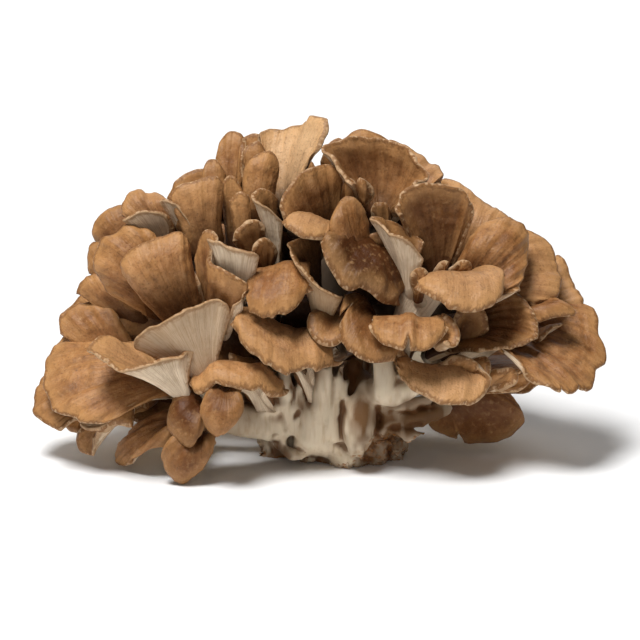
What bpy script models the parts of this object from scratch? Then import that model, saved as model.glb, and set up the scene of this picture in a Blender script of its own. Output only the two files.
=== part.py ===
"""A maitake (hen of the woods) mushroom: one cream trunk that forks into branches of overlapping brown fronds."""

import math
import random
from dataclasses import dataclass

import bmesh
import bpy
from mathutils import Vector
from mathutils.kdtree import KDTree

MM = 0.001

# Driving dimensions, in millimetres and degrees.
CLUSTER_WIDTH = 229.0
VIEW_TILT = 15.0
FLOOR = 11.4
RIM_THICKNESS = 2.6
STEM_THICKNESS = 6.5
STALK_RADIUS = 3.4
GAP = 0.7
LIMB_GAP = 1.4
SKIN_STEP = 0.9
TRUNK_TRIANGLES = 500
BRANCH_TRIANGLES = 480
BACK_TRIANGLES = 600
TRUNK_RADIUS = 19.0
TRUNK_HEIGHT = 36.0
BACK_CENTRE = (0.0, 17.0)
SEED = 7

# The fronds were measured as seen from the front, looking down at VIEW_TILT: each place is
# (across, up, toward the viewer). FLOOR is the height of the ground in that tilted frame.
TILT_SIN = math.sin(math.radians(VIEW_TILT))
TILT_COS = math.cos(math.radians(VIEW_TILT))


def upright(place):
    """A place in the tilted front view as a place over the ground, in millimetres."""
    across, up, toward = place
    return Vector((across, up * TILT_SIN - toward * TILT_COS, up * TILT_COS + toward * TILT_SIN - FLOOR))


def tilted(place):
    """The other way round: a place over the ground as it is seen in the tilted front view."""
    x, y, z = place
    z = z + FLOOR
    return (x, y * TILT_SIN + z * TILT_COS, z * TILT_SIN - y * TILT_COS)


@dataclass(frozen=True)
class Frond:
    """One frond: the foot where it leaves its branch, its rim, and the point its middle passes through.

    flare sets how it widens on the way to the rim: under 1 at once, like a cap, over 1 late, like a
    funnel. A notch is (where along the rim from -1 to 1, its half width, its share of the length).
    """

    branch: str
    foot: tuple
    rim: list
    middle: tuple = None
    flare: float = 1.0
    stem: float = 6.0
    notches: tuple = ()


# Each branch as a limb: places it runs through, and its radius at its two ends.
LIMBS = {
    "branch_centre_front": ([(-8, 34, 18), (-10, 46, 25), (-9, 56, 27), (1, 63, 29)], 8.5, 5.0),
    "branch_left_front": ([(-14, 24, 24), (-30, 25, 33), (-42, 29, 38), (-48, 36, 40)], 10.5, 7.0),
    "branch_centre_right": ([(9, 28, 22), (25, 36, 33), (32, 52, 29), (31, 66, 25)], 8.5, 5.0),
    "branch_left_low": ([(-12, 28, 8), (-40, 34, 12), (-68, 38, 6), (-80, 32, 16)], 9.0, 5.0),
    "branch_right_low": ([(12, 30, 4), (34, 38, 9), (56, 48, 12), (74, 59, 4)], 9.0, 5.0),
    "branch_left_high": ([(-8, 40, 14), (-26, 54, 20), (-35, 68, 24), (-32, 87, 20)], 8.5, 4.5),
    "branch_right_high": ([(8, 40, 8), (30, 56, 8), (45, 68, 14), (44, 74, 32)], 8.5, 4.5),
    "branch_left_mid": ([(-12, 38, 2), (-38, 52, 2), (-56, 62, 4), (-54, 86, 8)], 8.5, 4.5),
    "branch_top_right": ([(4, 44, 2), (5, 70, 5), (5, 90, 8), (14, 104, 2)], 8.5, 5.0),
    "branch_top_left": ([(-6, 46, 2), (-15, 70, 6), (-22, 92, 7), (-29, 107, 4)], 8.0, 4.5),
    "branch_back_left": ([tilted(p) for p in ((-8, 8, 24), (-30, 30, 42), (-40, 36, 70))], 9.0, 6.0),
    "branch_back_right": ([tilted(p) for p in ((8, 8, 24), (32, 32, 42), (42, 38, 68))], 9.0, 6.0),
    "branch_back": ([tilted(p) for p in ((0, 10, 26), (0, 34, 50), (0, 44, 86))], 9.0, 6.0),
}


FRONDS = (
    # The broad fans low on the left.
    Frond("branch_left_low", (-52, 35, 22), [(-72, 30, 42), (-81, 25, 44), (-89, 24, 42), (-97, 26, 38), (-105, 30, 32),
          (-109, 38, 26), (-110, 46, 18), (-107, 53, 10), (-102, 59, 2), (-94, 63, -4)], (-76, 43, 32), 0.9, 8),
    Frond("branch_left_low", (-68, 34, 8), [(-94, 26, 26), (-102, 22, 24), (-105, 21, 22), (-110, 24, 18), (-114, 30, 14),
          (-114, 35, 10), (-111, 40, 6), (-107, 44, 2)], (-90, 36, 16), 0.8),
    Frond("branch_left_low", (-68, 38, 4), [(-103, 58, 12), (-104, 64, 10), (-100, 68, 8), (-94, 71, 8), (-87, 71, 10),
          (-82, 69, 12), (-80, 64, 14)], (-82, 55, 15), 0.8),
    Frond("branch_left_low", (-68, 44, -6), [(-104, 62, 0), (-104, 66, -2), (-101, 70, -4), (-95, 74, -4), (-89, 76, -2),
          (-83, 74, 0), (-79, 70, 2)], (-84, 62, -2), 0.8),
    Frond("branch_left_low", (-80, 30, 28), [(-89, 19, 30), (-90, 13, 28), (-91, 11, 26), (-94, 12, 24), (-96, 16, 24),
          (-94, 21, 26)], None, 0.8, 5),
    Frond("branch_left_low", (-75, 30, 34), [(-89, 12, 30), (-88, 18, 32), (-85, 22, 36), (-80, 24, 40), (-72, 22, 42)],
          None, 0.8, 5),
    Frond("branch_left_low", (-86, 30, 10), [(-92, 26, 16), (-94, 22, 16), (-96, 20, 16), (-100, 21, 14), (-102, 24, 14)],
          None, 0.8, 5),
    Frond("branch_left_low", (-54, 22, 34), [(-59, 15, 40), (-67, 13, 38), (-73, 10, 34), (-77, 6, 28), (-81, 7, 24),
          (-81, 12, 22), (-78, 18, 22), (-72, 22, 22), (-64, 23, 22)], (-67, 18, 37), 0.8),
    # The lobes and funnels in front of the left arm.
    Frond("branch_left_front", (-46, 32, 40), [(-46, 21, 52), (-47, 17, 52), (-50, 14, 52), (-55, 16, 50), (-58, 20, 48),
          (-60, 26, 46), (-59, 31, 44), (-54, 34, 42)], (-51, 27, 52), 0.8),
    Frond("branch_left_front", (-45, 18, 40), [(-42, 14, 44), (-44, 8, 46), (-47, 3, 45), (-52, 0, 44), (-57, 2, 44),
          (-61, 7, 45), (-62, 12, 46), (-59, 16, 46)], (-51, 12, 50), 0.7, 6),
    Frond("branch_left_front", (-38, 37, 46), [(-29, 31, 54), (-31, 24, 58), (-36, 19, 58), (-40, 18, 58), (-45, 21, 57),
          (-47, 26, 55), (-46, 32, 52)], (-37, 30, 60), 0.7, 6),
    Frond("branch_left_front", (-50, 34, 42), [(-49, 52, 50), (-55, 50, 56), (-64, 48, 60), (-73, 46, 62), (-81, 47, 60),
          (-86, 51, 54), (-89, 56, 46), (-83, 57, 38), (-75, 57, 32), (-67, 55, 30)], None, 1.25, 8),
    Frond("branch_left_front", (-43, 38, 40), [(-35, 66, 50), (-36, 70, 54), (-40, 72, 56), (-47, 71, 58), (-54, 68, 60),
          (-61, 64, 60), (-67, 61, 58), (-72, 57, 55), (-69, 54, 50)], None, 1.4, 9),
    # The overlapping lobes up the left side.
    Frond("branch_left_mid", (-61, 67, 18), [(-81, 72, 24), (-85, 78, 27), (-88, 84, 29), (-89, 90, 30), (-86, 96, 31),
          (-81, 99, 32), (-75, 102, 33), (-68, 100, 33), (-64, 96, 31)], (-71, 84, 36), 0.75),
    Frond("branch_left_mid", (-68, 76, 0), [(-90, 95, 8), (-91, 100, 8), (-90, 104, 8), (-86, 108, 8), (-82, 110, 8),
          (-77, 111, 8), (-73, 110, 8)], (-78, 96, 12), 0.8),
    Frond("branch_left_mid", (-68, 70, 2), [(-92, 82, 12), (-93, 86, 12), (-93, 91, 12), (-92, 95, 12), (-88, 96, 13),
          (-84, 95, 14)], (-82, 84, 14), 0.8),
    Frond("branch_left_mid", (-68, 60, 4), [(-97, 74, 12), (-96, 78, 12), (-93, 81, 12), (-89, 82, 13), (-84, 81, 14),
          (-80, 78, 14)], (-83, 72, 14), 0.8),
    Frond("branch_left_mid", (-54, 54, 8), [(-81, 58, 14), (-81, 65, 12), (-78, 71, 10), (-71, 73, 10), (-64, 72, 10)],
          None, 0.8),
    Frond("branch_left_mid", (-50, 90, 14), [(-78, 105, 22), (-79, 109, 20), (-76, 113, 18), (-72, 116, 17), (-68, 114, 18),
          (-63, 114, 20), (-58, 110, 24), (-53, 106, 28), (-48, 100, 30)], (-64, 106, 24), 0.7),
    Frond("branch_left_mid", (-59, 93, 18), [(-57, 99, 28), (-60, 105, 33), (-66, 107, 36), (-72, 106, 37), (-78, 103, 36)],
          None, 0.9, 5),
    Frond("branch_left_mid", (-46, 87, 18), [(-48, 100, 30), (-52, 105, 32), (-56, 109, 33), (-61, 112, 33), (-63, 111, 31)],
          None, 0.9, 5),
    Frond("branch_left_mid", (-47, 95, 6), [(-61, 112, 12), (-59, 116, 12), (-58, 119, 12), (-54, 122, 11), (-49, 124, 10),
          (-46, 124, 9)], (-51, 110, 11), 0.8, 6),
    # The fronds above the big cream funnel.
    Frond("branch_left_high", (-46, 57, 28), [(-72, 77, 40), (-75, 81, 44), (-78, 87, 46), (-72, 92, 47), (-65, 96, 47),
          (-58, 98, 46), (-52, 97, 44), (-50, 95, 40), (-53, 89, 36)], (-59, 78, 48), 0.8),
    Frond("branch_left_high", (-45, 58, 30), [(-54, 83, 38), (-51, 84, 40), (-49, 81, 42), (-48, 77, 42)], None, 0.9, 5),
    Frond("branch_left_high", (-42, 58, 30), [(-49, 87, 42), (-48, 93, 44), (-46, 98, 45), (-43, 99, 46), (-41, 96, 48),
          (-44, 90, 51), (-43, 86, 53), (-38, 84, 55), (-33, 81, 57), (-28, 77, 57), (-29, 73, 55), (-34, 70, 52)],
          (-43, 72, 46), 0.8),
    Frond("branch_left_high", (-31, 72, 38), [(-24, 89, 52), (-25, 90, 55), (-30, 91, 57), (-35, 93, 57), (-40, 95, 55),
          (-43, 96, 51)], (-32, 82, 49), 1.0),
    Frond("branch_left_high", (-25, 87, 28), [(-22, 98, 38), (-24, 103, 40), (-28, 102, 42), (-32, 98, 43), (-32, 94, 42)],
          None, 0.9, 5),
    Frond("branch_left_high", (-22, 77, 30), [(-17, 89, 40), (-18, 93, 42), (-21, 96, 44), (-24, 94, 46), (-25, 90, 46)],
          None, 0.9, 5),
    Frond("branch_left_high", (-43, 85, 22), [(-54, 108, 30), (-58, 112, 31), (-56, 116, 31), (-50, 118, 31), (-45, 120, 31),
          (-40, 120, 30), (-39, 116, 26), (-39, 110, 24)], (-46, 103, 31), 0.8),
    Frond("branch_left_high", (-34, 87, 18), [(-39, 116, 24), (-37, 120, 24), (-34, 121, 24), (-32, 118, 24), (-30, 114, 22)],
          None, 0.9, 5),
    Frond("branch_left_high", (-30, 86, 26), [(-36, 110, 32), (-33, 113, 33), (-29, 114, 33), (-27, 110, 32), (-28, 105, 30)],
          None, 0.9, 5),
    # The upright fronds along the top, left of the peak.
    Frond("branch_top_left", (-39, 105, 12), [(-47, 120, 17), (-46, 125, 17), (-44, 128, 17), (-41, 128, 17), (-39, 125, 16),
          (-38, 122, 14)], (-42, 115, 17), 0.8, 5),
    Frond("branch_top_left", (-34, 105, 6), [(-42, 128, 8), (-41, 133, 8), (-39, 137, 8), (-36, 139, 8), (-33, 139, 8),
          (-31, 137, 9), (-31, 132, 11), (-32, 127, 13)], (-35, 120, 10), 0.8, 6),
    Frond("branch_top_left", (-26, 112, -4), [(-31, 136, 0), (-29, 138, 0), (-26, 139, 0), (-23, 137, 0), (-22, 133, 0)],
          None, 0.9, 5),
    Frond("branch_top_left", (-25, 109, 12), [(-31, 127, 15), (-30, 132, 15), (-27, 134, 15), (-24, 135, 15), (-22, 132, 14),
          (-21, 129, 12)], None, 0.8, 5),
    Frond("branch_top_left", (-25, 97, 18), [(-31, 122, 22), (-29, 126, 23), (-26, 129, 24), (-22, 131, 24), (-19, 131, 24),
          (-16, 128, 22), (-16, 123, 20), (-18, 119, 18)], (-24, 113, 25), 0.8, 6),
    Frond("branch_top_left", (-14, 80, 22), [(-14, 102, 34), (-18, 106, 37), (-22, 109, 39), (-26, 112, 39), (-24, 115, 36),
          (-20, 115, 32), (-16, 111, 29)], None, 1.3, 5),
    # The peak and the great fan beside it.
    Frond("branch_top_right", (-11, 103, 10), [(-24, 134, 5), (-25, 137, 4), (-23, 139, 3), (-20, 140, 2), (-16, 140, 2),
          (-12, 142, 2), (-6, 142, 3), (-3, 144, 7), (0, 146, 12), (3, 144, 16), (3, 141, 19), (0, 135, 21),
          (-3, 130, 21), (-5, 125, 19)], (-12, 122, 8), 1.2, 7),
    Frond("branch_top_right", (6, 110, -6), [(0, 127, -2), (2, 132, -2), (4, 135, -2), (8, 137, -2), (10, 136, -2)],
          None, 0.8, 5),
    Frond("branch_top_right", (22, 101, 14), [(14, 117, 40), (9, 120, 40), (5, 126, 37), (3, 131, 32), (4, 134, 27),
          (10, 136, 22), (16, 136, 20), (23, 136, 19), (30, 134, 20), (35, 132, 23), (39, 127, 28), (40, 122, 33),
          (36, 117, 36), (32, 113, 34)], (22, 118, 12), 1.0, 8),
    Frond("branch_top_right", (17, 108, 30), [(14, 117, 38), (16, 119, 40), (19, 117, 38), (19, 113, 36)], None, 0.9, 4),
    Frond("branch_top_right", (12, 108, 28), [(14, 116, 36), (11, 119, 37), (9, 118, 35)], None, 0.9, 4),
    Frond("branch_top_right", (20, 110, -12), [(9, 136, -8), (12, 139, -8), (16, 141, -8), (20, 141, -8), (25, 139, -8),
          (29, 136, -8), (31, 134, -8)], (20, 128, -6), 0.8, 6),
    Frond("branch_top_right", (33, 104, 0), [(27, 136, 2), (32, 135, 3), (37, 132, 4), (41, 130, 5), (44, 127, 6),
          (47, 126, 8), (49, 122, 12), (48, 119, 16), (44, 116, 20)], (38, 118, 14), 0.8),
    Frond("branch_top_right", (3, 96, 24), [(-13, 102, 42), (-15, 108, 43), (-14, 113, 42), (-11, 118, 40), (-7, 122, 38),
          (-3, 124, 36), (2, 125, 34), (6, 124, 31), (9, 119, 28)], (-3, 110, 34), 0.8),
    Frond("branch_top_right", (5, 91, 26), [(4, 99, 52), (2, 96, 56), (-4, 96, 59), (-9, 98, 59), (-13, 100, 57),
          (-14, 103, 53)], (-2, 104, 44), 0.5, 6),
    Frond("branch_top_right", (26, 93, 16), [(21, 106, 22), (22, 110, 22), (26, 110, 22), (28, 106, 21)], None, 0.9, 5),
    # The domed caps in the middle of the front.
    Frond("branch_centre_front", (-21, 29, 36), [(-14, 38, 46), (-15, 35, 50), (-18, 36, 54), (-22, 40, 57), (-28, 38, 60),
          (-34, 39, 60), (-41, 41, 58), (-46, 37, 56), (-50, 38, 52), (-49, 42, 46)], (-30, 46, 46), 0.55, 8),
    Frond("branch_centre_front", (-1, 31, 34), [(6, 50, 46), (5, 47, 50), (1, 46, 54), (-2, 47, 56), (-7, 44, 58),
          (-12, 45, 60), (-18, 48, 61), (-23, 52, 61), (-29, 57, 60), (-32, 61, 57), (-34, 65, 52)],
          (-12, 61, 42), 0.5, 8),
    Frond("branch_centre_front", (-22, 54, 30), [(-4, 79, 52), (-5, 74, 56), (-9, 69, 60), (-16, 67, 62), (-21, 65, 62),
          (-25, 67, 60), (-29, 70, 57), (-27, 74, 52)], (-16, 85, 44), 0.5),
    Frond("branch_centre_front", (2, 61, 32), [(9, 74, 48), (3, 76, 54), (-2, 79, 57), (-7, 84, 57), (-10, 88, 54),
          (-11, 93, 48), (-8, 96, 42), (-3, 97, 37), (2, 95, 34)], None, 1.1),
    # The caps that spread from the cream elbow right of the trunk.
    Frond("branch_centre_right", (9, 69, 36), [(8, 59, 52), (6, 56, 54), (2, 55, 54), (-2, 58, 53), (-4, 62, 51),
          (-2, 67, 48)], None, 0.7, 6),
    Frond("branch_centre_right", (26, 35, 38), [(60, 44, 46), (64, 40, 50), (62, 35, 54), (58, 33, 56), (55, 34, 57),
          (48, 33, 58), (42, 34, 58), (36, 37, 57), (33, 40, 55), (30, 42, 51), (30, 46, 46)], (45, 46, 42), 0.55, 9),
    Frond("branch_centre_right", (31, 46, 34), [(48, 62, 58), (47, 58, 62), (42, 54, 66), (37, 53, 67), (34, 54, 68),
          (30, 53, 67), (25, 55, 66), (21, 58, 63), (20, 63, 58)], (33, 68, 50), 0.5, 7, ((0.05, 0.07, 0.5),)),
    Frond("branch_centre_right", (42, 56, 44), [(46, 66, 54), (50, 64, 56), (53, 59, 58), (51, 55, 60), (48, 57, 60)],
          None, 0.8, 5),
    Frond("branch_centre_right", (27, 37, 36), [(30, 50, 54), (25, 49, 58), (18, 49, 60), (13, 52, 60), (10, 55, 59),
          (8, 60, 57), (8, 66, 54), (8, 71, 50), (11, 75, 45)], (21, 65, 44), 0.6, 9, ((0.45, 0.05, 0.2),)),
    Frond("branch_centre_right", (33, 59, 22), [(31, 73, 50), (26, 71, 54), (21, 74, 57), (16, 76, 59), (11, 77, 60),
          (6, 81, 60), (4, 87, 60), (2, 94, 58), (3, 99, 55)], (25, 92, 40), 0.5),
    Frond("branch_centre_right", (21, 79, 30), [(3, 98, 52), (4, 104, 52), (7, 110, 50), (10, 112, 47), (14, 112, 44),
          (18, 108, 41), (19, 102, 38)], (13, 96, 50), 0.7, 6),
    Frond("branch_centre_right", (32, 67, 22), [(18, 90, 38), (18, 94, 38), (22, 96, 38), (26, 95, 37), (29, 92, 35),
          (31, 87, 32)], None, 0.8, 6),
    # The upright fans high on the right.
    Frond("branch_right_high", (45, 75, 24), [(32, 104, 43), (30, 108, 43), (32, 111, 43), (33, 114, 42), (38, 117, 41),
          (44, 117, 40), (51, 116, 39), (56, 114, 38), (59, 109, 36), (58, 103, 34)], (45, 96, 29), 1.2, 8),
    Frond("branch_right_high", (37, 70, 38), [(40, 88, 50), (37, 91, 54), (33, 95, 56), (28, 99, 56), (24, 102, 54),
          (21, 104, 50), (25, 104, 44), (31, 102, 39), (37, 98, 36), (40, 94, 38)], None, 1.2),
    Frond("branch_right_high", (57, 75, 4), [(47, 117, -2), (49, 121, 0), (54, 120, 2), (59, 117, 4), (64, 112, 6),
          (69, 110, 8), (73, 108, 9), (76, 104, 10), (76, 98, 10)], (60, 98, 14), 0.8),
    Frond("branch_right_high", (53, 70, 16), [(58, 88, 26), (59, 96, 28), (62, 101, 29), (68, 104, 29), (74, 104, 28),
          (79, 101, 27), (82, 96, 27), (82, 90, 30), (80, 83, 34), (78, 78, 38), (73, 76, 41)], (66, 86, 36), 0.7),
    Frond("branch_right_high", (33, 61, 38), [(71, 84, 44), (72, 80, 50), (70, 74, 56), (65, 70, 60), (58, 69, 62),
          (51, 70, 62), (46, 72, 62), (41, 75, 60), (37, 79, 56)], (53, 82, 46), 0.6, 8),
    Frond("branch_right_high", (38, 72, 44), [(36, 80, 52), (37, 84, 53), (40, 84, 53), (42, 81, 52)], None, 0.9, 4),
    Frond("branch_right_high", (45, 77, 36), [(46, 82, 44), (48, 86, 46), (50, 85, 45)], None, 0.9, 3),
    Frond("branch_right_high", (46, 76, 36), [(52, 83, 45), (55, 87, 47), (58, 86, 47), (57, 83, 46)], None, 0.9, 4),
    # The wide blades low on the right.
    Frond("branch_right_low", (63, 67, 6), [(80, 100, 10), (84, 98, 11), (89, 95, 12), (93, 90, 14), (95, 84, 17),
          (96, 78, 21), (94, 74, 25), (90, 72, 28), (83, 71, 30)], (76, 82, 22), 0.75),
    Frond("branch_right_low", (43, 51, 24), [(72, 78, 26), (79, 73, 32), (83, 68, 36), (84, 63, 38), (84, 58, 40),
          (79, 55, 42), (71, 53, 43), (60, 51, 42)], (65, 62, 26), 0.9),
    Frond("branch_right_low", (74, 62, -6), [(92, 88, -2), (95, 90, 0), (98, 88, 2), (100, 84, 4), (102, 78, 6),
          (104, 74, 8), (105, 70, 10), (102, 67, 12)], (90, 75, 6), 0.8),
    Frond("branch_right_low", (72, 58, 20), [(90, 72, 22), (96, 71, 25), (100, 68, 28), (100, 66, 31), (94, 65, 33),
          (89, 64, 34), (84, 63, 34)], (88, 70, 30), 0.7, 6),
    Frond("branch_right_low", (78, 54, 10), [(96, 63, 24), (92, 63, 26), (88, 60, 28), (85, 56, 28)], None, 0.8, 5),
    Frond("branch_right_low", (57, 51, 14), [(99, 66, 6), (106, 68, 8), (111, 66, 11), (113, 59, 15), (115, 52, 20),
          (113, 46, 26), (109, 40, 32), (105, 37, 38), (101, 38, 42), (97, 35, 45), (91, 36, 47), (86, 39, 48),
          (81, 43, 48), (80, 46, 46)], (80, 54, 28), 0.8, 9, ((0.27, 0.04, 0.22),)),
    Frond("branch_right_low", (46, 42, 34), [(62, 44, 46), (60, 47, 47), (56, 49, 47), (52, 48, 46), (47, 45, 44)],
          None, 0.9, 5),
    Frond("branch_right_low", (53, 45, 30), [(63, 50, 40), (66, 48, 42), (66, 44, 44), (64, 42, 45), (62, 44, 45)],
          None, 0.8, 4),
    Frond("branch_right_low", (63, 37, 30), [(67, 44, 38), (72, 45, 40), (76, 45, 40), (76, 41, 41), (73, 40, 41)],
          None, 0.8, 5),
    Frond("branch_right_low", (59, 37, 24), [(76, 36, 34), (82, 40, 36), (80, 44, 36), (77, 42, 36)], None, 0.8, 5),
    Frond("branch_right_low", (46, 34, 8), [(66, 38, 6), (72, 38, 8), (77, 33, 10), (80, 28, 11), (82, 24, 11),
          (79, 20, 10), (73, 16, 8), (65, 14, 6), (58, 14, 5), (54, 16, 6), (48, 18, 7), (44, 21, 8), (43, 25, 9)],
          (62, 30, 16), 0.8, 8, ((0.42, 0.05, 0.35),)),
)

# The hidden side: rows of fans round the back, each row given by its branch, the height of its
# tips over the ground, its reach across and back, the directions of its fans in degrees from +X,
# half a fan's width, and how steeply the fans rise in degrees.
BACK_ROWS = (
    ("branch_back_right", 33, (98, 58), (8, 32, 56), 21, 12),
    ("branch_back", 36, (66, 60), (78, 102), 21, 12),
    ("branch_back_left", 33, (98, 58), (124, 148, 172), 21, 12),
    ("branch_back_right", 68, (88, 52), (16, 40), 20, 32),
    ("branch_back", 70, (66, 56), (66, 90, 114), 20, 32),
    ("branch_back_left", 68, (84, 52), (140, 162), 19, 32),
    ("branch_back_right", 93, (66, 44), (26, 52), 18, 48),
    ("branch_back", 98, (50, 46), (78, 102), 18, 48),
    ("branch_back_left", 93, (64, 44), (128, 154), 18, 48),
    ("branch_back", 112, (34, 30), (44, 76, 106, 138), 14, 62),
)
FAN_LENGTH = 40.0


def back_fronds():
    """The fans of the hidden side, each rising from its branch and drooping at the sides of its rim."""
    chance = random.Random(SEED)
    found = []
    for branch, height, (reach_x, reach_y), directions, half_width, rise in BACK_ROWS:
        for direction in directions:
            angle = math.radians(direction + chance.uniform(-4, 4))
            lift = math.radians(rise + chance.uniform(-8, 8))
            out = Vector((math.cos(angle), math.sin(angle), 0))
            side = Vector((-math.sin(angle), math.cos(angle), 0))
            along = out * math.cos(lift) + Vector((0, 0, math.sin(lift)))
            above = Vector((0, 0, math.cos(lift))) - out * math.sin(lift)
            centre = Vector((BACK_CENTRE[0], BACK_CENTRE[1], 0))
            reach = Vector((out.x * reach_x, out.y * reach_y, 0)) * chance.uniform(0.94, 1.0)
            tip = centre + reach + Vector((0, 0, height + chance.uniform(-3, 3)))
            length = FAN_LENGTH * half_width / 20 * chance.uniform(0.9, 1.1)
            foot = tip - along * length
            foot.z = max(foot.z, 14)
            rim = []
            for step in range(9):
                turn = math.radians(-100 + 25 * step)
                wide = half_width * (1 + chance.uniform(-0.08, 0.08)) * math.sin(turn)
                far = length * (0.5 + 0.5 * math.cos(turn)) * (1 + chance.uniform(-0.06, 0.06))
                droop = chance.uniform(-2, 2) - 4 * math.sin(turn) ** 2
                rim.append(tilted(foot.lerp(tip, far / length) + side * wide + above * droop))
            crown = foot.lerp(tip, 0.55) + above * 4
            found.append(Frond(branch, tilted(foot), rim, tilted(crown), 0.75, 8))
    return found


def along_rim(rim, where):
    """The place at where, from -1 to 1, on a smooth curve through the rim's places."""
    last = len(rim) - 1
    spot = (where + 1) / 2 * last
    start = min(max(int(spot), 0), last - 1)
    part = spot - start
    a, b, c, d = (Vector(rim[min(max(start + k, 0), last)]) for k in (-1, 0, 1, 2))
    return 0.5 * (2 * b + (c - a) * part + (2 * a - 5 * b + 4 * c - d) * part**2 + (3 * b - a - 3 * c + d) * part**3)


def surface(frond, where, out):
    """The frond's surface at where along the rim and out from the foot (0) to the rim (1)."""
    foot = Vector(frond.foot)
    rim = along_rim(frond.rim, where)
    tip = along_rim(frond.rim, 0)
    sideways = (along_rim(frond.rim, 0.6) - along_rim(frond.rim, -0.6)).normalized()
    for place, half_width, depth in frond.notches:
        near = 1 - abs(where - place) / half_width
        if near > 0:
            out = out * (1 - depth * near)
    spread = out**frond.flare
    spot = foot + (tip - foot) * out + (rim - tip) * spread
    spot += sideways * (where * frond.stem / 2 * (1 - spread))
    if frond.middle:
        bow = Vector(frond.middle) - (foot + tip) / 2
        spot += bow * (4 * out * (1 - out) * (1 - 0.6 * where * where))
    return spot


def clear_scene():
    """Empty the scene of every object."""
    for thing in list(bpy.data.objects):
        bpy.data.objects.remove(thing, do_unlink=True)


def add_object(name, mesh, collection):
    """A new object for a mesh, in a collection."""
    thing = bpy.data.objects.new(name, mesh)
    collection.objects.link(thing)
    return thing


def baked(thing):
    """The mesh an object's modifiers give."""
    view = bpy.context.view_layer
    view.update()
    graph = bpy.context.evaluated_depsgraph_get()
    return bpy.data.meshes.new_from_object(thing.evaluated_get(graph))


def bake(thing):
    """Put the result of an object's modifiers in its mesh."""
    mesh = baked(thing)
    thing.modifiers.clear()
    thing.data = mesh


def frond_body(frond, name, collection):
    """A frond as a solid: a grid bent to its surface, thick at the stem and thin at the rim."""
    columns = min(max(len(frond.rim) - 3, 4), 7)
    length = (along_rim(frond.rim, 0) - Vector(frond.foot)).length
    rows = 3 if length > 16 or frond.middle else 2
    grid = bmesh.new()
    bmesh.ops.create_grid(grid, x_segments=columns, y_segments=rows, size=1)
    factors = []
    for vertex in grid.verts:
        where = vertex.co.x
        out = (vertex.co.y + 1) / 2
        factors.append(1 - (1 - RIM_THICKNESS / STEM_THICKNESS) * min(out * 1.6, 1))
        vertex.co = upright(surface(frond, where, out)) * MM
    mesh = bpy.data.meshes.new(name)
    grid.to_mesh(mesh)
    grid.free()
    thing = add_object(name, mesh, collection)
    group = thing.vertex_groups.new(name="thickness")
    for index, factor in enumerate(factors):
        group.add([index], factor, "REPLACE")
    shell = thing.modifiers.new("shell", "SOLIDIFY")
    shell.thickness = STEM_THICKNESS * MM
    shell.offset = 0
    shell.vertex_group = "thickness"
    shell.thickness_vertex_group = 0
    bake(thing)
    return thing


def tube(name, places, radii, sides, collection):
    """A limb or a stalk: a bevelled curve with filled caps, made a mesh with its caps joined on."""
    curve = bpy.data.curves.new(name, "CURVE")
    curve.dimensions = "3D"
    curve.bevel_depth = MM
    curve.bevel_resolution = sides // 2 - 2
    curve.use_fill_caps = True
    line = curve.splines.new("POLY")
    line.points.add(len(places) - 1)
    for point, place, radius in zip(line.points, places, radii):
        point.co = (*(place * MM), 1)
        point.radius = radius
    thing = add_object(name, curve, collection)
    mesh = baked(thing)
    bpy.data.objects.remove(thing, do_unlink=True)
    work = bmesh.new()
    work.from_mesh(mesh)
    bmesh.ops.remove_doubles(work, verts=work.verts, dist=0.00001)
    bmesh.ops.recalc_face_normals(work, faces=work.faces)
    work.to_mesh(mesh)
    work.free()
    return add_object(name, mesh, collection)


def limb_line(branch):
    """The places a branch's limb runs through, over the ground, on a smooth curve."""
    places = [upright(p) for p in LIMBS[branch][0]]
    steps = 2 * (len(places) - 1)
    return [along_rim(places, -1 + 2 * k / steps) for k in range(steps + 1)]


def limb_body(branch, collection):
    """A branch's limb, thinner toward its far end."""
    _, thick, thin = LIMBS[branch]
    places = limb_line(branch)
    last = len(places) - 1
    radii = [thick + (thin - thick) * k / last for k in range(last + 1)]
    return tube(branch + "_limb", places, radii, 8, collection)


def stalk_body(frond, name, collection):
    """The stalk that joins a frond's foot to the nearest place on its limb."""
    foot = upright(frond.foot)
    places = limb_line(frond.branch)
    fine = [a.lerp(b, k / 6) for a, b in zip(places, places[1:]) for k in range(6)]
    near = min(fine, key=lambda place: (place - foot).length)
    ahead = upright(surface(frond, 0, 0.16))
    if (near - foot).length < 1.5:
        near = near + (foot - ahead).normalized() * 2
    return tube(name, [near, foot, ahead], [STALK_RADIUS * 1.15, STALK_RADIUS, STALK_RADIUS * 0.7], 6, collection)


def moulded(thing, others, most):
    """Grow overlapping bodies together into one closed skin, then thin it to about most triangles."""
    work = bmesh.new()
    work.from_mesh(thing.data)
    for other in others:
        work.from_mesh(other.data)
    work.to_mesh(thing.data)
    work.free()
    heap = thing.data
    for attempt in range(8):
        thing.data = heap
        skin = thing.modifiers.new("skin", "REMESH")
        skin.mode = "VOXEL"
        skin.voxel_size = (SKIN_STEP + 0.03 * attempt) * MM
        bake(thing)
        triangles = sum(len(face.vertices) - 2 for face in thing.data.polygons)
        thin = thing.modifiers.new("thin", "DECIMATE")
        thin.ratio = min(most / triangles, 1)
        bake(thing)
        if is_closed(thing.data):
            break


def is_closed(mesh):
    """Whether each edge of a mesh has two faces."""
    work = bmesh.new()
    work.from_mesh(mesh)
    closed = all(edge.is_manifold for edge in work.edges) and all(vertex.is_manifold for vertex in work.verts)
    work.free()
    return closed


def cut(thing, others, operation="DIFFERENCE"):
    """Cut other bodies from a body, or join them to it, one after the other."""
    for other in others:
        change = thing.modifiers.new("cut", "BOOLEAN")
        change.operation = operation
        change.object = other
        change.solver = "MANIFOLD"
        bake(thing)


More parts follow.
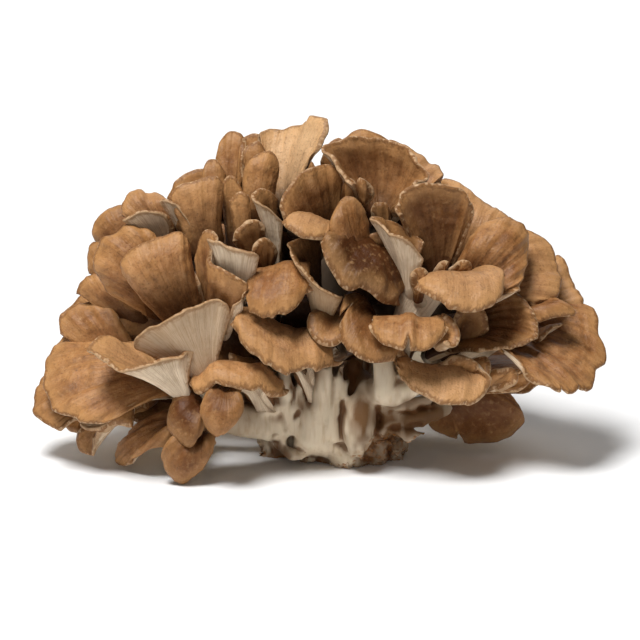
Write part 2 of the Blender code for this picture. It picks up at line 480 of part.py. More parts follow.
def fattened(thing, gap, collection):
    """A cutter a little larger than a body, so that what it cuts keeps a gap to that body."""
    cutter = add_object(thing.name + "_clearance", thing.data.copy(), collection)
    work = bmesh.new()
    work.from_mesh(cutter.data)
    work.normal_update()
    moves = [vertex.normal * (gap * MM * min(vertex.calc_shell_factor(), 2.5)) for vertex in work.verts]
    for vertex, move in zip(work.verts, moves):
        vertex.co += move
    work.to_mesh(cutter.data)
    work.free()
    cutter.hide_render = True
    cutter.display_type = "WIRE"
    return cutter


def nudged(thing, gap, collection):
    """A cutter made of copies of a body moved each way along the axes: a smaller gap, but a sure one."""
    cutter = add_object(thing.name + "_nudged", thing.data.copy(), collection)
    copies = []
    for axis in range(3):
        for way in (-1, 1):
            other = add_object(f"{cutter.name}_{axis}_{way}", thing.data.copy(), collection)
            for vertex in other.data.vertices:
                vertex.co[axis] += way * gap * MM
            copies.append(other)
    cut(cutter, copies, "UNION")
    for other in copies:
        bpy.data.objects.remove(other, do_unlink=True)
    return cutter


def near(thing, others):
    """The other bodies whose boxes meet a body's box."""
    def box(item):
        spots = [v.co for v in item.data.vertices]
        return [(min(s[k] for s in spots), max(s[k] for s in spots)) for k in range(3)]

    mine = box(thing)
    return [o for o in others if all(a[0] <= b[1] and b[0] <= a[1] for a, b in zip(mine, box(o)))]


def part_touching(work):
    """Draw in the corners that touch another corner of the same body, so that none meet."""
    work.normal_update()
    tree = KDTree(len(work.verts))
    for index, vertex in enumerate(work.verts):
        tree.insert(vertex.co, index)
    tree.balance()
    touching = [v for v in work.verts if len(tree.find_range(v.co, 0.000002)) > 1]
    for vertex in touching:
        vertex.co -= vertex.normal * 0.00003


def keep_largest(thing):
    """Drop the offcuts that the cutting left loose, and keep the one body."""
    work = bmesh.new()
    work.from_mesh(thing.data)
    bmesh.ops.triangulate(work, faces=work.faces)
    left = set(work.faces)
    islands = []
    while left:
        island = set()
        reach = [left.pop()]
        while reach:
            face = reach.pop()
            island.add(face)
            for edge in face.edges:
                if len(edge.link_faces) != 2:
                    continue
                for other in edge.link_faces:
                    if other in left:
                        left.remove(other)
                        reach.append(other)
        islands.append(island)
    islands.sort(key=lambda faces: sum(face.calc_area() for face in faces))
    for island in islands[:-1]:
        bmesh.ops.delete(work, geom=list(island), context="FACES")
    loose = [v for v in work.verts if not v.link_faces]
    bmesh.ops.delete(work, geom=loose, context="VERTS")
    part_touching(work)
    work.to_mesh(thing.data)
    work.free()


def lump(name, place, sizes, collection):
    """A rounded lump of the base."""
    work = bmesh.new()
    bmesh.ops.create_icosphere(work, subdivisions=2, radius=1)
    for vertex in work.verts:
        vertex.co = (Vector(place) + Vector([vertex.co[k] * sizes[k] for k in range(3)])) * MM
    mesh = bpy.data.meshes.new(name)
    work.to_mesh(mesh)
    work.free()
    return add_object(name, mesh, collection)


# The lumps round the foot of the trunk: place over the ground and half sizes.
BASE_LUMPS = (
    ((17, -9, 7), (13, 11, 12)),
    ((27, -4, 5), (8, 9, 9)),
    ((6, -17, 5), (11, 9, 9)),
    ((-11, -12, 6), (11, 10, 11)),
    ((-13, 10, 8), (13, 13, 14)),
    ((9, 14, 9), (14, 13, 15)),
)
BUDS = (
    ([(15, 12, 27), (16, 24, 31), (17, 34, 32), (18, 41, 32)], (4.5, 6.5, 4.5, 1.2)),
    ([(12, 22, 20), (12, 36, 24), (15, 44, 26), (19, 50, 27)], (4.5, 5.0, 4.5, 1.5)),
)


def trunk_body(collection, scrap):
    """The trunk: a stout cream column with a lumpy foot, cut flat where it stood on the wood."""
    places = [Vector(p) for p in ((-1, 2, -4), (-2, 1, 8), (-3, 0, 22), (-2, 2, TRUNK_HEIGHT))]
    radii = (TRUNK_RADIUS * 1.2, TRUNK_RADIUS * 1.08, TRUNK_RADIUS, TRUNK_RADIUS * 0.8)
    trunk = tube("trunk", places, radii, 14, collection)
    joined = [lump(f"lump_{k}", place, sizes, scrap) for k, (place, sizes) in enumerate(BASE_LUMPS)]
    joined += [tube(f"bud_{k}", [upright(p) for p in line], radii, 8, scrap) for k, (line, radii) in enumerate(BUDS)]
    moulded(trunk, joined, TRUNK_TRIANGLES)
    return trunk


def cut_at_ground(thing, cutters):
    """Cut away what lies below the ground, flat."""
    if min(vertex.co.z for vertex in thing.data.vertices) > 0.0003:
        return
    mesh = bpy.data.meshes.new("ground_cutter")
    work = bmesh.new()
    bmesh.ops.create_cube(work, size=1)
    for vertex in work.verts:
        vertex.co = Vector((vertex.co.x * 0.4, vertex.co.y * 0.4, vertex.co.z * 0.06 - 0.03))
    work.to_mesh(mesh)
    work.free()
    cutter = add_object("ground_cutter", mesh, cutters)
    cutter.hide_render = True
    cutter.display_type = "WIRE"
    cut(thing, [cutter])


def paint(thing, colour, roughness):
    """Give a body its own material."""
    material = bpy.data.materials.new(thing.name + "_flesh")
    material.use_nodes = True
    shader = material.node_tree.nodes["Principled BSDF"]
    shader.inputs["Base Color"].default_value = (*colour, 1)
    shader.inputs["Roughness"].default_value = roughness
    shader.inputs["Metallic"].default_value = 0
    thing.data.materials.clear()
    thing.data.materials.append(material)
    thing.data.shade_smooth()
    thing.data.set_sharp_from_angle(angle=math.radians(50))


def main():
    """Build the trunk, then each branch with its fronds, clear of the others by a small gap."""
    clear_scene()
    parts = bpy.data.collections.new("maitake_mushroom")
    cutters = bpy.data.collections.new("cutters")
    scrap = bpy.data.collections.new("scrap")
    for collection in (parts, cutters, scrap):
        bpy.context.scene.collection.children.link(collection)
    trunk = trunk_body(parts, scrap)
    cut_at_ground(trunk, cutters)
    limbs = {branch: limb_body(branch, scrap) for branch in LIMBS}
    limb_gaps = {branch: fattened(limb, LIMB_GAP, cutters) for branch, limb in limbs.items()}
    limb_guards = {branch: fattened(limb, LIMB_GAP * 0.5, cutters) for branch, limb in limbs.items()}
    fronds = list(FRONDS) + back_fronds()
    trunk_gaps = [fattened(trunk, GAP, cutters), nudged(trunk, GAP * 0.55, cutters)]
    earlier = []
    chance = random.Random(SEED)
    for branch, limb in limbs.items():
        bodies = []
        for number, frond in enumerate(f for f in fronds if f.branch == branch):
            bodies.append(frond_body(frond, f"{branch}_frond_{number}", scrap))
            bodies.append(stalk_body(frond, f"{branch}_stalk_{number}", scrap))
        body = add_object(branch, limb.data.copy(), parts)
        moulded(body, bodies, BACK_TRIANGLES if "back" in branch else BRANCH_TRIANGLES)
        clearances = [fattened(body, GAP, cutters), nudged(body, GAP * 0.55, cutters)]
        others = [name for name in LIMBS if name != branch]
        for clearance in clearances:
            cut(clearance, near(clearance, [limb_guards[name] for name in others]))
        cut(body, near(body, [limb_gaps[name] for name in others] + earlier + trunk_gaps))
        cut_at_ground(body, cutters)
        keep_largest(body)
        earlier += clearances
        shade = chance.uniform(-0.03, 0.03)
        paint(body, (0.30 + shade, 0.165 + shade * 0.7, 0.08 + shade * 0.5), 0.7)
    paint(trunk, (0.60, 0.50, 0.37), 0.65)
    for thing in list(scrap.objects) + list(cutters.objects):
        bpy.data.objects.remove(thing, do_unlink=True)
    bpy.data.collections.remove(scrap)
    bpy.data.collections.remove(cutters)


main()
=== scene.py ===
"""A maitake mushroom: a cream trunk that forks into branches of overlapping brown fronds."""

from __future__ import annotations

import logging
import math
import random
from dataclasses import dataclass
from enum import Enum

import bmesh
import bpy
import numpy as np
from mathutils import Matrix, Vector

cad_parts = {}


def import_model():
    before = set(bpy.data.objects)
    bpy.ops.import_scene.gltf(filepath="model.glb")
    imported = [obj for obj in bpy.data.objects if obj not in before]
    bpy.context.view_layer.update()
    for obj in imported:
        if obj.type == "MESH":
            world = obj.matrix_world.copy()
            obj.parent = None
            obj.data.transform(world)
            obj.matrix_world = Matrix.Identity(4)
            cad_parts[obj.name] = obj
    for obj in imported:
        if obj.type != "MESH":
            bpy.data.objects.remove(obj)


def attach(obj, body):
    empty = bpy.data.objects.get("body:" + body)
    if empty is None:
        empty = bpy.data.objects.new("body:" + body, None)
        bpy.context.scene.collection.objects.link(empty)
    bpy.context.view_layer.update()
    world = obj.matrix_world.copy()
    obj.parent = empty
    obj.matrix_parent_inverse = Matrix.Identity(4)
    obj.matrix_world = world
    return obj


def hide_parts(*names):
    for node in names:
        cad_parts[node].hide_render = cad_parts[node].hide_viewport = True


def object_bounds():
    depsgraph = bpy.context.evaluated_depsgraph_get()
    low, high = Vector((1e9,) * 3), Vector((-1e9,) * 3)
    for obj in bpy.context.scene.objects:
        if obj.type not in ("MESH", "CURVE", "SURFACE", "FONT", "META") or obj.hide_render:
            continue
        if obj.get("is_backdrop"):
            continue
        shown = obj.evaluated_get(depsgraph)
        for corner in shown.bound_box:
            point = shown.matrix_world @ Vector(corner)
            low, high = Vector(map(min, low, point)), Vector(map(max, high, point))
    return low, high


LOG = logging.getLogger("maitake")
Place = tuple[float, float, float]
Values = dict[str, np.ndarray]
Socket = bpy.types.NodeSocket
# The kinds of node that are added often.
MATH, MIX = "ShaderNodeMath", "ShaderNodeMix"
MAPPING, RANGE = "ShaderNodeMapping", "ShaderNodeMapRange"

MM = 0.001
# The front view looks down by this angle, and its zero lies this far below the ground, in millimetres.
VIEW_TILT = math.radians(15.0)
TILT_SIN, TILT_COS = math.sin(VIEW_TILT), math.cos(VIEW_TILT)
FLOOR = 11.4
# What the shown face of a frond looks at, unless its entry says otherwise.
FRONT = (0.0, 0.4, 1.0)
# The steps of the fine frond skins, in millimetres, on the front and on the hidden side.
FRONT_STEP = 0.96
BACK_STEP = 1.4
# The heart of the cluster, where painted shade darkens fronds and stems: its middle and half sizes over the
# ground, in millimetres.
SHADE_HEART_MIDDLE = np.array([0.0, 11.0, 45.0])
SHADE_HEART_HALF = np.array([112.0, 64.0, 88.0])


class Shows(Enum):
    """Which face of a frond is turned to the front."""

    CAP = 1
    PORES = -1


def upright(places: np.ndarray) -> np.ndarray:
    """Turn places of the tilted front view into places over the ground.

    Args:
        places: (across, up, toward the viewer) in millimetres, the last axis of any array.

    Returns:
        The same places as x, y, z over the ground, in millimetres.
    """
    places = np.asarray(places, float)
    across, up, toward = places[..., 0], places[..., 1], places[..., 2]
    back, high = up * TILT_SIN - toward * TILT_COS, up * TILT_COS + toward * TILT_SIN
    return np.stack([across, back, high - FLOOR], axis=-1)


def tilted(place: Vector | Place) -> Place:
    """Turn a place over the ground into a place of the tilted front view.

    Args:
        place: x, y, z in millimetres.

    Returns:
        (across, up, toward the viewer).
    """
    high = place[2] + FLOOR
    return (place[0], place[1] * TILT_SIN + high * TILT_COS, high * TILT_SIN - place[1] * TILT_COS)


def colour(code: str) -> tuple[float, float, float, float]:
    """Turn an sRGB hex colour into linear red, green, blue and alpha.

    Args:
        code: six hex digits.

    Returns:
        The linear colour.
    """
    parts = [int(code[k : k + 2], 16) / 255 for k in (0, 2, 4)]
    linear = [c / 12.92 if c <= 0.04045 else ((c + 0.055) / 1.055) ** 2.4 for c in parts]
    return (linear[0], linear[1], linear[2], 1.0)


def ramp(value: np.ndarray, start: float, end: float) -> np.ndarray:
    """Go from 0 to 1 while a value goes from start to end.

    Args:
        value: the value.
        start: where it is 0, and before it.
        end: where it is 1, and past it.

    Returns:
        The share at each place.
    """
    return np.clip((value - start) / (end - start), 0, 1)


def smooth_curve(places: np.ndarray, where: np.ndarray) -> np.ndarray:
    """Read a smooth curve through places.

    Args:
        places: the places, one a row.
        where: numbers from -1, the first place, to 1, the last.

    Returns:
        One place for each number.
    """
    last = len(places) - 1
    spot = (where + 1) / 2 * last
    start = np.clip(spot.astype(int), 0, last - 1)
    part = (spot - start)[..., None]
    a, b, c, d = (places[np.clip(start + k, 0, last)] for k in (-1, 0, 1, 2))
    bend = (2 * a - 5 * b + 4 * c - d) * part**2
    return 0.5 * (2 * b + (c - a) * part + bend + (3 * b - a - 3 * c + d) * part**3)


def painted_shade_depth(places: np.ndarray) -> np.ndarray:
    """Tell how deep places lie inside the cluster, which sets the painted shade there.

    Args:
        places: x, y, z over the ground, in millimetres.

    Returns:
        From 0 in the outer leaves to 1 at the heart, 0 near the ground.
    """
    apart = np.linalg.norm((places - SHADE_HEART_MIDDLE) / SHADE_HEART_HALF, axis=-1)
    return ramp(apart, 0.74, 0.44) * ramp(places[..., 2], 36, 52)


@dataclass(frozen=True)
class Wave:
    """A part of a relief: its size across and along in millimetres, its height, and where it starts."""

    across: float
    along: float
    height: float = 1.0
    start: tuple[float, float] = (0.0, 0.0)


class Ripple:
    """Smooth seeded noise over two coordinates, about from -1 to 1."""

    def __init__(self, seed: int) -> None:
        """Fill the lattice from a seed."""
        self.lattice = np.random.default_rng(seed).uniform(-1, 1, (64, 64))

    def at(self, x: np.ndarray, y: np.ndarray | float) -> np.ndarray:
        """Read the noise.

        Args:
            x: first coordinate, one lattice step a unit.
            y: second coordinate.

        Returns:
            The noise at each place.
        """
        x, y = np.broadcast_arrays(x, y)
        column, row = np.floor(x).astype(int), np.floor(y).astype(int)
        u, v = x - column, y - row
        u, v = u * u * (3 - 2 * u), v * v * (3 - 2 * v)
        cells = [self.lattice[(column + i) % 64, (row + j) % 64] for i in (0, 1) for j in (0, 1)]
        low = cells[0] * (1 - v) + cells[1] * v
        high = cells[2] * (1 - v) + cells[3] * v
        return low * (1 - u) + high * u

    def heap(self, waves: tuple[Wave, ...], across: np.ndarray, along: np.ndarray) -> np.ndarray:
        """Lay waves over one another.

        Args:
            waves: the waves.
            across: distance across, in millimetres.
            along: distance along, in millimetres.

        Returns:
            Their height at each place.
        """
        return sum(
            wave.height * self.at(across / wave.across + wave.start[0], along / wave.along + wave.start[1])
            for wave in waves
        )


@dataclass(frozen=True)
class Frond:
    """One frond, from the foot where it leaves its branch to its rim, in millimetres of the front view.

    middle is the place that its middle passes through, flare how late it widens, stem its width at the
    foot, a notch (where along the rim, its half width, its share of the length), shows the face that is
    turned to the front, tone its colour from dark to light, partly its own and partly painted light and
    shade, facing what that side looks at, curl how far the rim rolls under, and creases how high the
    wrinkles across it stand.
    """

    foot: Place
    rim: list[Place]
    middle: Place | None = None
    flare: float = 1.0
    stem: float = 6.0
    notches: tuple[Place, ...] = ()
    shows: Shows = Shows.CAP
    tone: float = 0.5
    facing: Place = FRONT
    curl: float = 0.7
    creases: float = 0.28

    @property
    def tip(self) -> np.ndarray:
        """The middle place of its rim."""
        return np.array(self.rim[len(self.rim) // 2], float)

    @property
    def width(self) -> float:
        """The way along its rim."""
        return np.linalg.norm(np.diff(np.array(self.rim, float), axis=0), axis=1).sum()

    @property
    def length(self) -> float:
        """Measure it from its foot through its middle to its tip.

        Returns:
            The way, in millimetres.
        """
        foot = np.array(self.foot, float)
        middle = np.array(self.middle, float) if self.middle else (foot + self.tip) / 2
        return np.linalg.norm(middle - foot) + np.linalg.norm(self.tip - middle)

    @property
    def rounded(self) -> bool:
        """Whether it widens at once, as a cap does."""
        return self.flare < 0.6

    @property
    def rolled(self) -> bool:
        """Whether its rim rolls far under."""
        return self.curl > 1.4


# Each branch's limb: the places it runs through, and its radius at its two ends, in millimetres.
LIMBS = {
    "branch_centre_front": ([(-8, 34, 18), (-10, 46, 25), (-9, 56, 27), (1, 63, 29)], 8.5, 5.0),
    "branch_left_front": ([(-14, 24, 24), (-30, 25, 33), (-42, 29, 38), (-48, 36, 40)], 10.5, 7.0),
    "branch_centre_right": ([(9, 28, 22), (25, 36, 33), (32, 52, 29), (31, 66, 25)], 8.5, 5.0),
    "branch_left_low": ([(-12, 28, 8), (-40, 34, 12), (-68, 38, 6), (-80, 32, 16)], 9.0, 5.0),
    "branch_right_low": ([(12, 30, 4), (34, 38, 9), (56, 48, 12), (74, 59, 4)], 9.0, 5.0),
    "branch_left_high": ([(-8, 40, 14), (-26, 54, 20), (-35, 68, 24), (-32, 87, 20)], 8.5, 4.5),
    "branch_right_high": ([(8, 40, 8), (30, 56, 8), (45, 68, 14), (44, 74, 32)], 8.5, 4.5),
    "branch_left_mid": ([(-12, 38, 2), (-38, 52, 2), (-56, 62, 4), (-54, 86, 8)], 8.5, 4.5),
    "branch_top_right": ([(4, 44, 2), (5, 70, 5), (5, 90, 8), (14, 104, 2)], 8.5, 5.0),
    "branch_top_left": ([(-6, 46, 2), (-15, 70, 6), (-22, 92, 7), (-29, 107, 4)], 8.0, 4.5),
    "branch_back_left": ([tilted(p) for p in ((-8, 8, 24), (-30, 30, 42), (-40, 36, 70))], 9.0, 6.0),
    "branch_back_right": ([tilted(p) for p in ((8, 8, 24), (32, 32, 42), (42, 38, 68))], 9.0, 6.0),
    "branch_back": ([tilted(p) for p in ((0, 10, 26), (0, 34, 50), (0, 44, 86))], 9.0, 6.0),
}

# A fan that closes the middle of the back: its foot and its rim over the ground.
BACK_MIDDLE = ((1, 29, 48), (24, 34, 54), (22, 38, 64), (12, 41, 71), (3, 40, 69), (-4, 36, 60))

# The fronds that the front shows, by branch: foot, rim, middle, flare, stem, notches and what else differs.
FRONDS = {
    # The broad fans low on the left.
    "branch_left_low": (
        Frond((-52, 35, 22), [(-72, 30, 42), (-81, 25, 44), (-89, 24, 42), (-97, 26, 38), (-105, 30, 32),
              (-109, 38, 26), (-110, 46, 18), (-107, 53, 10), (-102, 59, 2), (-94, 63, -4)], (-76, 43, 32),
              0.9, 8, tone=0.62),
        Frond((-68, 34, 8), [(-94, 26, 26), (-102, 22, 24), (-105, 21, 22), (-110, 24, 18), (-114, 30, 14),
              (-114, 35, 10), (-111, 40, 6), (-107, 44, 2)], (-90, 36, 16), 0.8, tone=0.4),
        Frond((-68, 38, 4), [(-103, 58, 12), (-104, 64, 10), (-100, 68, 8), (-94, 71, 8), (-87, 71, 10),
              (-82, 69, 12), (-80, 64, 14)], (-82, 55, 15), 0.8),
        Frond((-68, 44, -6), [(-104, 62, 0), (-104, 66, -2), (-101, 70, -4), (-95, 74, -4), (-89, 76, -2),
              (-83, 74, 0), (-79, 70, 2)], (-84, 62, -2), 0.8),
        Frond((-80, 30, 28), [(-89, 19, 30), (-90, 13, 28), (-91, 11, 26), (-94, 12, 24), (-96, 16, 24),
              (-94, 21, 26)], None, 0.8, 5, tone=0.35),
        Frond((-75, 30, 34), [(-89, 12, 30), (-88, 18, 32), (-85, 22, 36), (-80, 24, 40), (-72, 22, 42)],
              None, 0.8, 5),
        Frond((-86, 30, 10), [(-92, 26, 16), (-94, 22, 16), (-96, 20, 16), (-100, 21, 14), (-102, 24, 14)],
              None, 0.8, 5),
        Frond((-54, 22, 34), [(-59, 15, 40), (-67, 13, 38), (-73, 10, 34), (-77, 6, 28), (-81, 7, 24),
              (-81, 12, 22), (-78, 18, 22), (-72, 22, 22), (-64, 23, 22)], (-67, 18, 37), 0.8, tone=0.5,
              curl=1.0),
        Frond((-58, 34, 12), [(-60, 24, 22), (-66, 23, 24), (-73, 25, 24), (-79, 29, 20), (-80, 34, 16)],
              None, 0.8, 8, tone=-0.3),
        Frond((-66, 34, 26), [(-76, 27, 36), (-82, 23, 38), (-90, 21, 37), (-94, 23, 34)], None, 0.9, 6,
              shows=Shows.PORES, tone=0.6),
    ),
    # The lobes and funnels in front of the left arm.
    "branch_left_front": (
        Frond((-46, 32, 40), [(-46, 21, 52), (-47, 17, 52), (-50, 14, 52), (-55, 16, 50), (-58, 20, 48),
              (-60, 26, 46), (-59, 31, 44), (-54, 34, 42)], (-51, 27, 52), 0.8, tone=0.0, curl=1.2),
        Frond((-45, 18, 40), [(-42, 14, 44), (-44, 8, 46), (-47, 3, 45), (-52, 0, 44), (-57, 2, 44),
              (-61, 7, 45), (-62, 12, 46), (-59, 16, 46)], (-51, 12, 50), 0.7, 6, tone=0.3, curl=1.0),
        Frond((-38, 37, 46), [(-29, 31, 54), (-31, 24, 58), (-36, 19, 58), (-40, 18, 58), (-45, 21, 57),
              (-47, 26, 55), (-46, 32, 52)], (-37, 30, 60), 0.7, 6, tone=0.35, curl=3.0),
        Frond((-50, 34, 42), [(-49, 52, 50), (-55, 50, 56), (-64, 48, 60), (-73, 46, 62), (-81, 47, 60),
              (-86, 51, 54), (-89, 56, 46), (-83, 57, 38), (-75, 57, 32), (-67, 55, 30)], None, 1.25, 8,
              tone=0.8, facing=(1, 0.3, -0.3)),
        Frond((-43, 38, 40), [(-35, 66, 50), (-36, 70, 54), (-40, 72, 56), (-47, 71, 58), (-54, 68, 60),
              (-61, 64, 60), (-67, 61, 58), (-72, 57, 55), (-69, 54, 50)], None, 1.4, 9, shows=Shows.PORES,
              tone=0.3),
    ),
    # The overlapping lobes up the left side.
    "branch_left_mid": (
        Frond((-61, 67, 18), [(-81, 72, 24), (-85, 78, 27), (-88, 84, 29), (-89, 90, 30), (-86, 96, 31),
              (-81, 99, 32), (-75, 102, 33), (-68, 100, 33), (-64, 96, 31)], (-71, 84, 36), 0.75,
              tone=0.45),
        Frond((-68, 76, 0), [(-90, 95, 8), (-91, 100, 8), (-90, 104, 8), (-86, 108, 8), (-82, 110, 8),
              (-77, 111, 8), (-73, 110, 8)], (-78, 96, 12), 0.8, tone=0.3, creases=0.5, curl=1.5),
        Frond((-68, 70, 2), [(-92, 82, 12), (-93, 86, 12), (-93, 91, 12), (-92, 95, 12), (-88, 96, 13),
              (-84, 95, 14)], (-82, 84, 14), 0.8, tone=0.3, creases=0.5, curl=1.5),
        Frond((-68, 60, 4), [(-97, 74, 12), (-96, 78, 12), (-93, 81, 12), (-89, 82, 13), (-84, 81, 14),
              (-80, 78, 14)], (-83, 72, 14), 0.8),
        Frond((-54, 54, 8), [(-81, 58, 14), (-81, 65, 12), (-78, 71, 10), (-71, 73, 10), (-64, 72, 10)],
              None, 0.8),
        Frond((-50, 90, 14), [(-78, 105, 22), (-79, 109, 20), (-76, 113, 18), (-72, 116, 17),
              (-68, 114, 18), (-63, 114, 20), (-58, 110, 24), (-53, 106, 28), (-48, 100, 30)],
              (-64, 106, 24), 0.7, tone=0.6, creases=0.4),
        Frond((-59, 93, 18), [(-57, 99, 28), (-60, 105, 33), (-66, 107, 36), (-72, 106, 37),
              (-78, 103, 36)], None, 0.9, 5, shows=Shows.PORES, tone=0.6),
        Frond((-46, 87, 18), [(-48, 100, 30), (-52, 105, 32), (-56, 109, 33), (-61, 112, 33),
              (-63, 111, 31)], None, 0.9, 5, shows=Shows.PORES, tone=0.6),
        Frond((-47, 95, 6), [(-61, 112, 12), (-59, 116, 12), (-58, 119, 12), (-54, 122, 11),
              (-49, 124, 10), (-46, 124, 9)], (-51, 110, 11), 0.8, 6),
    ),
    # The fronds above the big cream funnel.
    "branch_left_high": (
        Frond((-46, 57, 28), [(-72, 77, 40), (-75, 81, 44), (-78, 87, 46), (-72, 92, 47), (-65, 96, 47),
              (-58, 98, 46), (-52, 97, 44), (-50, 95, 40), (-53, 89, 36)], (-59, 78, 48), 0.8, tone=0.6),
        Frond((-45, 58, 30), [(-54, 83, 38), (-51, 84, 40), (-49, 81, 42), (-48, 77, 42)], None, 0.9, 5),
        Frond((-42, 58, 30), [(-49, 87, 42), (-48, 93, 44), (-46, 98, 45), (-43, 99, 46), (-41, 96, 48),
              (-44, 90, 51), (-43, 86, 53), (-38, 84, 55), (-33, 81, 57), (-28, 77, 57), (-29, 73, 55),
              (-34, 70, 52)], (-43, 72, 46), 0.8, tone=0.4),
        Frond((-31, 72, 38), [(-24, 89, 52), (-25, 90, 55), (-30, 91, 57), (-35, 93, 57), (-40, 95, 55),
              (-43, 96, 51)], (-32, 82, 49), 1.0, shows=Shows.PORES, tone=0.6),
        Frond((-25, 87, 28), [(-22, 98, 38), (-24, 103, 40), (-28, 102, 42), (-32, 98, 43), (-32, 94, 42)],
              None, 0.9, 5),
        Frond((-22, 77, 30), [(-17, 89, 40), (-18, 93, 42), (-21, 96, 44), (-24, 94, 46), (-25, 90, 46)],
              None, 0.9, 5),
        Frond((-43, 85, 22), [(-54, 108, 30), (-58, 112, 31), (-56, 116, 31), (-50, 118, 31),
              (-45, 120, 31), (-40, 120, 30), (-39, 116, 26), (-39, 110, 24)], (-46, 103, 31), 0.8,
              tone=0.7),
        Frond((-34, 87, 18), [(-39, 116, 24), (-37, 120, 24), (-34, 121, 24), (-32, 118, 24),
              (-30, 114, 22)], None, 0.9, 5),
        Frond((-30, 86, 26), [(-36, 110, 32), (-33, 113, 33), (-29, 114, 33), (-27, 110, 32),
              (-28, 105, 30)], None, 0.9, 5),
    ),
    # The upright fronds along the top, left of the peak.
    "branch_top_left": (
        Frond((-39, 105, 12), [(-47, 120, 17), (-46, 125, 17), (-44, 128, 17), (-41, 128, 17),
              (-39, 125, 16), (-38, 122, 14)], (-42, 115, 17), 0.8, 5),
        Frond((-34, 105, 6), [(-42, 128, 8), (-41, 133, 8), (-39, 137, 8), (-36, 139, 8), (-33, 139, 8),
              (-31, 137, 9), (-31, 132, 11), (-32, 127, 13)], (-35, 120, 10), 0.8, 6, tone=0.5, curl=1.5),
        Frond((-26, 112, -4), [(-31, 136, 0), (-29, 138, 0), (-26, 139, 0), (-23, 137, 0), (-22, 133, 0)],
              None, 0.9, 5),
        Frond((-25, 109, 12), [(-31, 127, 15), (-30, 132, 15), (-27, 134, 15), (-24, 135, 15),
              (-22, 132, 14), (-21, 129, 12)], None, 0.8, 5),
        Frond((-25, 97, 18), [(-31, 122, 22), (-29, 126, 23), (-26, 129, 24), (-22, 131, 24),
              (-19, 131, 24), (-16, 128, 22), (-16, 123, 20), (-18, 119, 18)], (-24, 113, 25), 0.8, 6,
              tone=0.45, curl=1.5),
        Frond((-14, 80, 22), [(-14, 102, 34), (-18, 106, 37), (-22, 109, 39), (-26, 112, 39),
              (-24, 115, 36), (-20, 115, 32), (-16, 111, 29)], None, 1.3, 5),
    ),
    # The peak and the great fan beside it.
    "branch_top_right": (
        Frond((-11, 103, 10), [(-24, 134, 5), (-25, 137, 4), (-23, 139, 3), (-20, 140, 2), (-16, 140, 2),
              (-12, 142, 2), (-6, 142, 3), (-3, 144, 7), (0, 146, 12), (3, 144, 16), (3, 141, 19),
              (0, 135, 21), (-3, 130, 21), (-5, 125, 19)], (-12, 122, 8), 1.2, 7, tone=1.55),
        Frond((6, 110, -6), [(0, 127, -2), (2, 132, -2), (4, 135, -2), (8, 137, -2), (10, 136, -2)], None,
              0.8, 5),
        Frond((22, 101, 14), [(14, 117, 40), (9, 120, 40), (5, 126, 37), (3, 131, 32), (4, 134, 27),
              (10, 136, 22), (16, 136, 20), (23, 136, 19), (30, 134, 20), (35, 132, 23), (39, 127, 28),
              (40, 122, 33), (36, 117, 36), (32, 113, 34)], (22, 118, 12), 1.0, 8, tone=0.6),
        Frond((17, 108, 30), [(14, 117, 38), (16, 119, 40), (19, 117, 38), (19, 113, 36)], None, 0.9, 4),
        Frond((12, 108, 28), [(14, 116, 36), (11, 119, 37), (9, 118, 35)], None, 0.9, 4),
        Frond((20, 110, -12), [(9, 136, -8), (12, 139, -8), (16, 141, -8), (20, 141, -8), (25, 139, -8),
              (29, 136, -8), (31, 134, -8)], (20, 128, -6), 0.8, 6, tone=0.6),
        Frond((33, 104, 0), [(27, 136, 2), (32, 135, 3), (37, 132, 4), (41, 130, 5), (44, 127, 6),
              (47, 126, 8), (49, 122, 12), (48, 119, 16), (44, 116, 20)], (38, 118, 14), 0.8, tone=0.65),
        Frond((3, 96, 24), [(-13, 102, 42), (-15, 108, 43), (-14, 113, 42), (-11, 118, 40), (-7, 122, 38),
              (-3, 124, 36), (2, 125, 34), (6, 124, 31), (9, 119, 28)], (-3, 110, 34), 0.8, tone=0.4),
        Frond((5, 91, 26), [(4, 99, 52), (2, 96, 56), (-4, 96, 59), (-9, 98, 59), (-13, 100, 57),
              (-14, 103, 53)], (-2, 104, 44), 0.5, 6, tone=0.75, curl=1.5),
        Frond((26, 93, 16), [(21, 106, 22), (22, 110, 22), (26, 110, 22), (28, 106, 21)], None, 0.9, 5),
    ),
    # The domed caps in the middle of the front.
    "branch_centre_front": (
        Frond((-21, 29, 36), [(-14, 38, 46), (-15, 35, 50), (-18, 36, 54), (-22, 40, 57), (-28, 38, 60),
              (-34, 39, 60), (-41, 41, 58), (-46, 37, 56), (-50, 38, 52), (-49, 42, 46)], (-30, 46, 46),
              0.55, 8, tone=0.68, creases=0.4, curl=2.5),
        Frond((-1, 31, 34), [(6, 50, 46), (5, 47, 50), (1, 46, 54), (-2, 47, 56), (-7, 44, 58),
              (-12, 45, 60), (-18, 48, 61), (-23, 52, 61), (-29, 57, 60), (-32, 61, 57), (-34, 65, 52)],
              (-12, 61, 42), 0.5, 8, tone=0.75, creases=0.35, curl=3.0),
        Frond((-22, 54, 30), [(-4, 79, 52), (-5, 74, 56), (-9, 69, 60), (-16, 67, 62), (-21, 65, 62),
              (-25, 67, 60), (-29, 70, 57), (-27, 74, 52)], (-16, 85, 44), 0.5, tone=0.4, curl=2.5),
        Frond((2, 61, 32), [(9, 74, 48), (3, 76, 54), (-2, 79, 57), (-7, 84, 57), (-10, 88, 54),
              (-11, 93, 48), (-8, 96, 42), (-3, 97, 37), (2, 95, 34)], None, 1.1, tone=0.1),
        Frond((-2, 50, 22), [(-15, 59, 34), (-14, 68, 37), (-8, 73, 38), (-2, 73, 38), (3, 69, 37),
              (4, 61, 35)], None, 0.8, 6, tone=0.1),
        Frond((-22, 46, 24), [(-34, 52, 38), (-34, 48, 41), (-30, 45, 43), (-25, 45, 43), (-22, 48, 42),
              (-22, 54, 38)], None, 0.7, 6, tone=0.1, curl=1.5),
